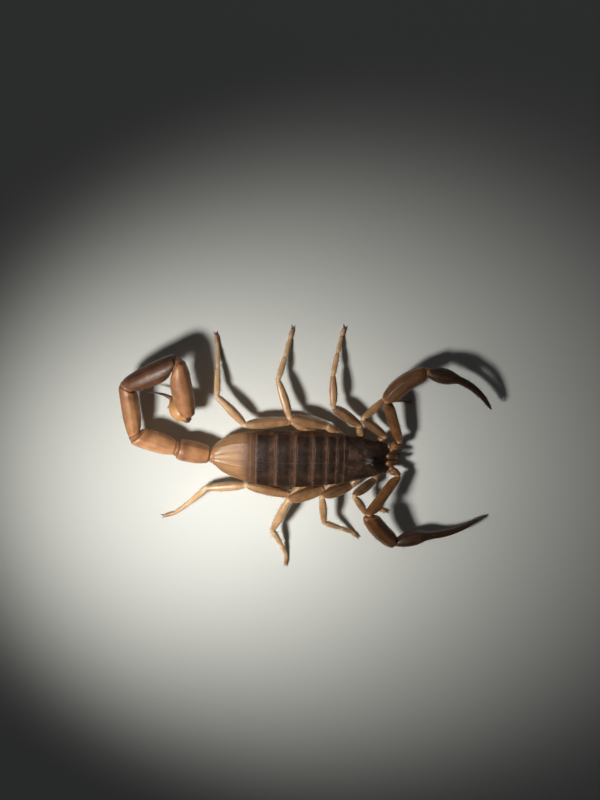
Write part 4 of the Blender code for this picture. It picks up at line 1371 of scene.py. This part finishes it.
# ---------------------------------------------------------------------------------------------
# Jaws: two short, stout pincers that stick out from under the front edge of the shield. Each has a
# swollen base, a fixed finger on its inner side and a hinged one outside, toothed and dark-tipped.
# ---------------------------------------------------------------------------------------------
JAW_ROOT = (11.1, 0.48, 2.75)
JAW_TIP = (12.55, 0.42, 2.45)
JAW_PROFILE = ((0, 0.6, 0.66), (0.3, 0.78, 0.9), (0.62, 0.86, 0.98), (0.85, 0.74, 0.86), (1, 0.5, 0.6))
JAW_BASE_SHARE = 0.62


def netted(surface):
    """The same surface, its pigment drawn in a fine dark net that thickens towards the far end."""

    def place(share, angle):
        point, pigment = surface(share, angle)
        first, second = noise.voronoi(point * 3.6 + Vector((0, 0, 4)))[0][:2]
        net = 1 - eased(0.03, 0.22, second - first)
        return point, pigment + (0.05 + 0.3 * share) * net + 0.1 * share - 0.1

    return place


for side, sign in SIGN.items():
    root, tip = [Vector((x, sign * y, z)) for x, y, z in (JAW_ROOT, JAW_TIP)]
    way = (tip - root).normalized()
    outward = Vector((0, sign, 0))
    base_end = root.lerp(tip, JAW_BASE_SHARE)
    # the jaws' dark base tone is partly their own colour and partly painted shade under the front of the
    # shield
    base = limb_surface(
        Length(root - way * 0.7, base_end, UP), JAW_PROFILE, 1.0, (0.3, 0.3), ((20, 0.5),), 0.66
    )
    inner_root = base_end - way * 0.2 - outward * 0.13 + UP * 0.1
    outer_root = base_end - way * 0.22 + outward * 0.15 - UP * 0.12
    fixed_way = (way - outward * 0.1 + UP * 0.05).normalized()
    moving_way = (way + outward * 0.22 - UP * 0.05).normalized()
    parts = [
        lofted(48, 48, netted(base)),
        hook(inner_root, fixed_way, outward * 0.16 - UP * 0.3, 0.78, 0.42, (0.5, 1.0)),
        hook(outer_root, moving_way, outward * -0.42 - UP * 0.12, 0.84, 0.4, (0.55, 1.0)),
    ]
    for finger_root, finger_way, facing, place, long, wide, tone in (
        (inner_root, fixed_way, outward, 0.3, 0.2, 0.14, 0.8),
        (inner_root, fixed_way, outward, 0.48, 0.16, 0.11, 0.9),
        (outer_root, moving_way, -outward, 0.36, 0.18, 0.13, 0.9),
    ):
        inset = 0.1 if finger_root is inner_root else 0.08
        tooth_root = finger_root + finger_way * place + facing * inset
        parts.append(hook(tooth_root, facing, way * 0.5, long, wide, (tone, 1.0)))
    parts.append(hairs(base, 46, 0.3, 300 + sign, 0.016, (0.3, 0.98), 0.7))
    add_piece(joined(parts), f"jaw_{side}", PALP_SHELL, "jaw_shell", f"chelicera_{side}")

# ---------------------------------------------------------------------------------------------
# Breast: the hips of the eight legs, which can't move and meet along the middle, with the two
# pairs of lobes they send forward under the mouth, the small three-cornered breastbone, the pair
# of plates behind it and the soft skin above them all. Smooth tan shell.
# ---------------------------------------------------------------------------------------------
COXA_WIDTH = 1.25
COXA_FULLNESS = 1.22
COXA_INNER = {1: 0.35, 2: 0.4, 3: 0.35, 4: 0.3}  # how much further in the hips reach
COXA_DEPTH = 0.7
COXA_PROFILE = ((0, 0.7, 0.9), (0.3, 0.95, 1), (0.75, 1, 1), (1, 0.8, 0.9))
BREAST_FRONT = 10.9
BREAST_REAR = 2.4
BREAST_FLOOR = 1.28
BREAST_SQUARENESS = 2.5
LOBE_REACH = {1: 2.6, 2: 1.7}
LOBE_PROFILE = ((0, 0.62, 0.5), (0.5, 0.56, 0.46), (0.85, 0.6, 0.42), (1, 0.4, 0.3))
ARM_HIP_ROOT = (9.2, 0.95, 1.85)
ARM_HIP_END = (11.5, 1.5, 2.3)
ARM_HIP_PROFILE = ((0, 0.8, 0.7), (0.4, 1.3, 1.0), (0.85, 1.4, 1.2), (1, 1.05, 0.95))


def on_breast_skin(share, angle):
    """The soft core of the head, flat below and hidden under the shield above."""
    long = BREAST_FRONT - BREAST_REAR
    x = BREAST_FRONT - long * share
    sway, half_width, _, _ = drawn(TRUNK_OUTLINE, x)
    ends = 0.3 + 0.7 * rounded_end(share * long, 0.8) * rounded_end((1 - share) * long, 0.5)
    outward = math.cos(angle)
    across = squarer(outward, BREAST_SQUARENESS) * (half_width - 0.42) * ends
    rise = squarer(math.sin(angle), BREAST_SQUARENESS)
    height = 0.9 if rise > 0 else 0.52
    pleat = 0.03 * math.sin(x * 13 + 3 * outward) * abs(outward)
    point = Vector((x, sway + across * (1 + pleat), 1.92 + rise * height * ends))
    return point, 0.28 + 0.14 * mottle(point, 1.8) + 3 * abs(pleat)


def breast_plate(front, rear, narrow, wide, offset, furrow):
    """A small plate of the underside, narrow and wide at its ends, with a furrow in its middle."""

    def place(along, across):
        x = front + (rear - front) * along
        y = 2 * across - 1
        corner = rounded_end(along, 0.3) * (0.35 + 0.65 * rounded_end(1 - along, 0.22))
        half_width = (narrow + (wide - narrow) * along) * corner
        lift = 0.1 * (1 - y * y) * corner - furrow * bump_at(y, 0, 0.16) * corner
        lift += 0.01 * granules(Vector((x, y, 0)), 5)
        sway = drawn(TRUNK_OUTLINE, x)[0]
        point = Vector((x, sway + offset + y * half_width, BREAST_FLOOR - lift))
        pigment = 0.34 + 0.1 * mottle(point, 1.5) + 0.12 * abs(y) ** 3
        return point, pigment + 1.2 * furrow * bump_at(y, 0, 0.2)

    return thickened(plate_mesh(34, 34, place), PLATE_THICKNESS, -1)


head_skin = lofted(64, 60, on_breast_skin)
add_piece(head_skin, "head_skin", SOFT_SKIN, "under_shell", "coxosternum")
coxa_profile = [(t, w * COXA_FULLNESS * COXA_WIDTH, d * COXA_DEPTH) for t, w, d in COXA_PROFILE]
for side, sign in SIGN.items():
    parts = []
    for number, spot in COXA_ROOT.items():
        ahead = heading(*LEG_POSE[side + str(number)][0])
        start, end = hip(spot, sign), hip(COXA_END[number], sign)
        start += (start - end).normalized() * COXA_INNER[number]
        length = Length(start, end, UP, after=ahead)
        surface = limb_surface(length, coxa_profile, 1.0, (0.3, 0.3), ((150, 0.5),), 0.4, flutes=0.03)
        parts += [lofted(48, 60, surface), hairs(surface, 12, 0.3, 400 + number, arc=(180, 360))]
        if number in LOBE_REACH:
            start = hip(spot, sign) + Vector((0.2, -sign * 0.25, -0.12))
            lobe = Length(start, start + Vector((LOBE_REACH[number], sign * 0.12, 0.1)), UP)
            surface = limb_surface(lobe, LOBE_PROFILE, 1.0, (0.3, 0.4), (), 0.4)
            parts += [lofted(32, 40, surface), hairs(surface, 14, 0.22, 410 + number, 0.014)]
    start, end = (Vector((x, sign * y, z)) for x, y, z in (ARM_HIP_ROOT, ARM_HIP_END))
    surface = limb_surface(
        Length(start, end, UP), ARM_HIP_PROFILE, 1.0, (0.3, 0.4), ((150, 0.5),), 0.68, flutes=0.03
    )
    parts += [lofted(48, 60, surface), hairs(surface, 16, 0.3, 420, 0.016, (0.4, 0.98))]
    parts.append(breast_plate(3.55, 2.85, 0.42, 0.5, sign * 0.42, 0.0))
    add_piece(joined(parts), f"hips_{side}", TAN_SHELL, "under_shell")
breastbone = breast_plate(5.0, 3.65, 0.08, 0.62, 0.0, 0.09)
comb_base = breast_plate(2.85, 2.2, 0.7, 0.62, 0.0, 0.06)
add_piece(joined([breastbone, comb_base]), "breastbone", TAN_SHELL, "under_shell")

# ---------------------------------------------------------------------------------------------
# Combs: a pair of feather-like sense organs behind the last hips. Each is a jointed rod with a row
# of flat beads behind it and eighteen soft, blunt teeth along the rear edge. Pale and thin.
# ---------------------------------------------------------------------------------------------
PECTINE_ROOT = (2.2, 1.25)
PECTINE_BASE = 0.6
PECTINE_LENGTH = 4.0
PECTINE_HEADING = 141
PECTINE_BEADS = 9
PECTINE_TEETH = 18
PECTINE_BREADTH = 1.3
PECTINE_TAPER = 0.55
PECTINE_BOW = 0.1
PECTINE_THICKNESS = 0.5
COMB_SKIN = cuticle(
    "comb_skin",
    (
        (0.0, (0.8, 0.62, 0.4)), (0.4, (0.62, 0.42, 0.22)), (0.7, (0.36, 0.2, 0.1)),
        (1.0, (0.12, 0.06, 0.035)),
    ),
    blotch=0.08, speckle=0.06, grain=0.15, grain_size=8.0, gloss=0.25, glow=0.3,
)


def comb_point(sign, share, rearward, rise):
    """A point of a comb: share of its length, and how far to the rear and above its middle it lies."""
    along, back = heading(PECTINE_HEADING, 0), heading(PECTINE_HEADING + 90, 0)
    height = PECTINE_BASE + PECTINE_THICKNESS / 2 + rise
    point = Vector((*PECTINE_ROOT, height)) + along * share * PECTINE_LENGTH
    point += back * (rearward - PECTINE_BOW * math.sin(math.pi * share))
    return Vector((point.x, sign * point.y, point.z))


def comb_breadth(share):
    """The comb's breadth at a share of its length: it tapers to its tip."""
    return PECTINE_BREADTH * (1 - (1 - PECTINE_TAPER) * share)


def comb_rod(sign):
    """The jointed rod along the front edge of a comb."""

    def place(share, angle):
        breadth = comb_breadth(share)
        half = 0.17 * breadth * rounded_end(share * 4, 0.2) * rounded_end((1 - share) * 4, 0.3)
        half *= 1 - 0.12 * sum(bump_at(share, spot, 0.012) for spot in (0.34, 0.62))
        rearward = 0.19 * breadth + math.cos(angle) * half
        point = comb_point(sign, share, rearward, math.sin(angle) * 1.15 * half)
        point.z = min(PECTINE_BASE + PECTINE_THICKNESS, max(PECTINE_BASE, point.z))
        return point, 0.25 + 0.1 * mottle(point, 2.0)

    return lofted(28, 70, place)


def comb_bead(sign, share):
    """One of the flat beads behind the rod."""
    breadth = comb_breadth(share)

    def place(rise, angle):
        size = math.sin(math.pi * (0.03 + 0.94 * rise))
        rearward = (0.47 + 0.16 * math.cos(angle) * size) * breadth
        slip = share + math.sin(angle) * size * 0.052
        point = comb_point(sign, slip, rearward, 0.19 * math.cos(math.pi * rise))
        return point, 0.3 + 0.12 * mottle(point, 2.5)

    return lofted(18, 12, place)


def comb_tooth(sign, share):
    """One of the blunt teeth along the rear edge."""
    breadth = comb_breadth(share)

    def place(reach, angle):
        size = rounded_end(reach, 0.15) * rounded_end(1 - reach, 0.35) * (0.85 + 0.15 * reach)
        slip = share + 0.012 * reach + math.cos(angle) * size * 0.024
        rearward = breadth * (0.56 + 0.44 * reach)
        point = comb_point(sign, slip, rearward, math.sin(angle) * size * 0.17)
        return point, 0.12 + 0.25 * (1 - reach) + 0.1 * mottle(point, 3.0)

    return lofted(14, 10, place)


for side, sign in SIGN.items():
    parts = [comb_rod(sign)]
    parts += [comb_bead(sign, 0.06 + 0.1 * k) for k in range(PECTINE_BEADS)]
    parts += [comb_tooth(sign, (k + 0.6) / (PECTINE_TEETH + 0.4)) for k in range(PECTINE_TEETH)]
    add_piece(joined(parts), f"comb_{side}", COMB_SKIN, "comb_shell", f"pectine_{side}")
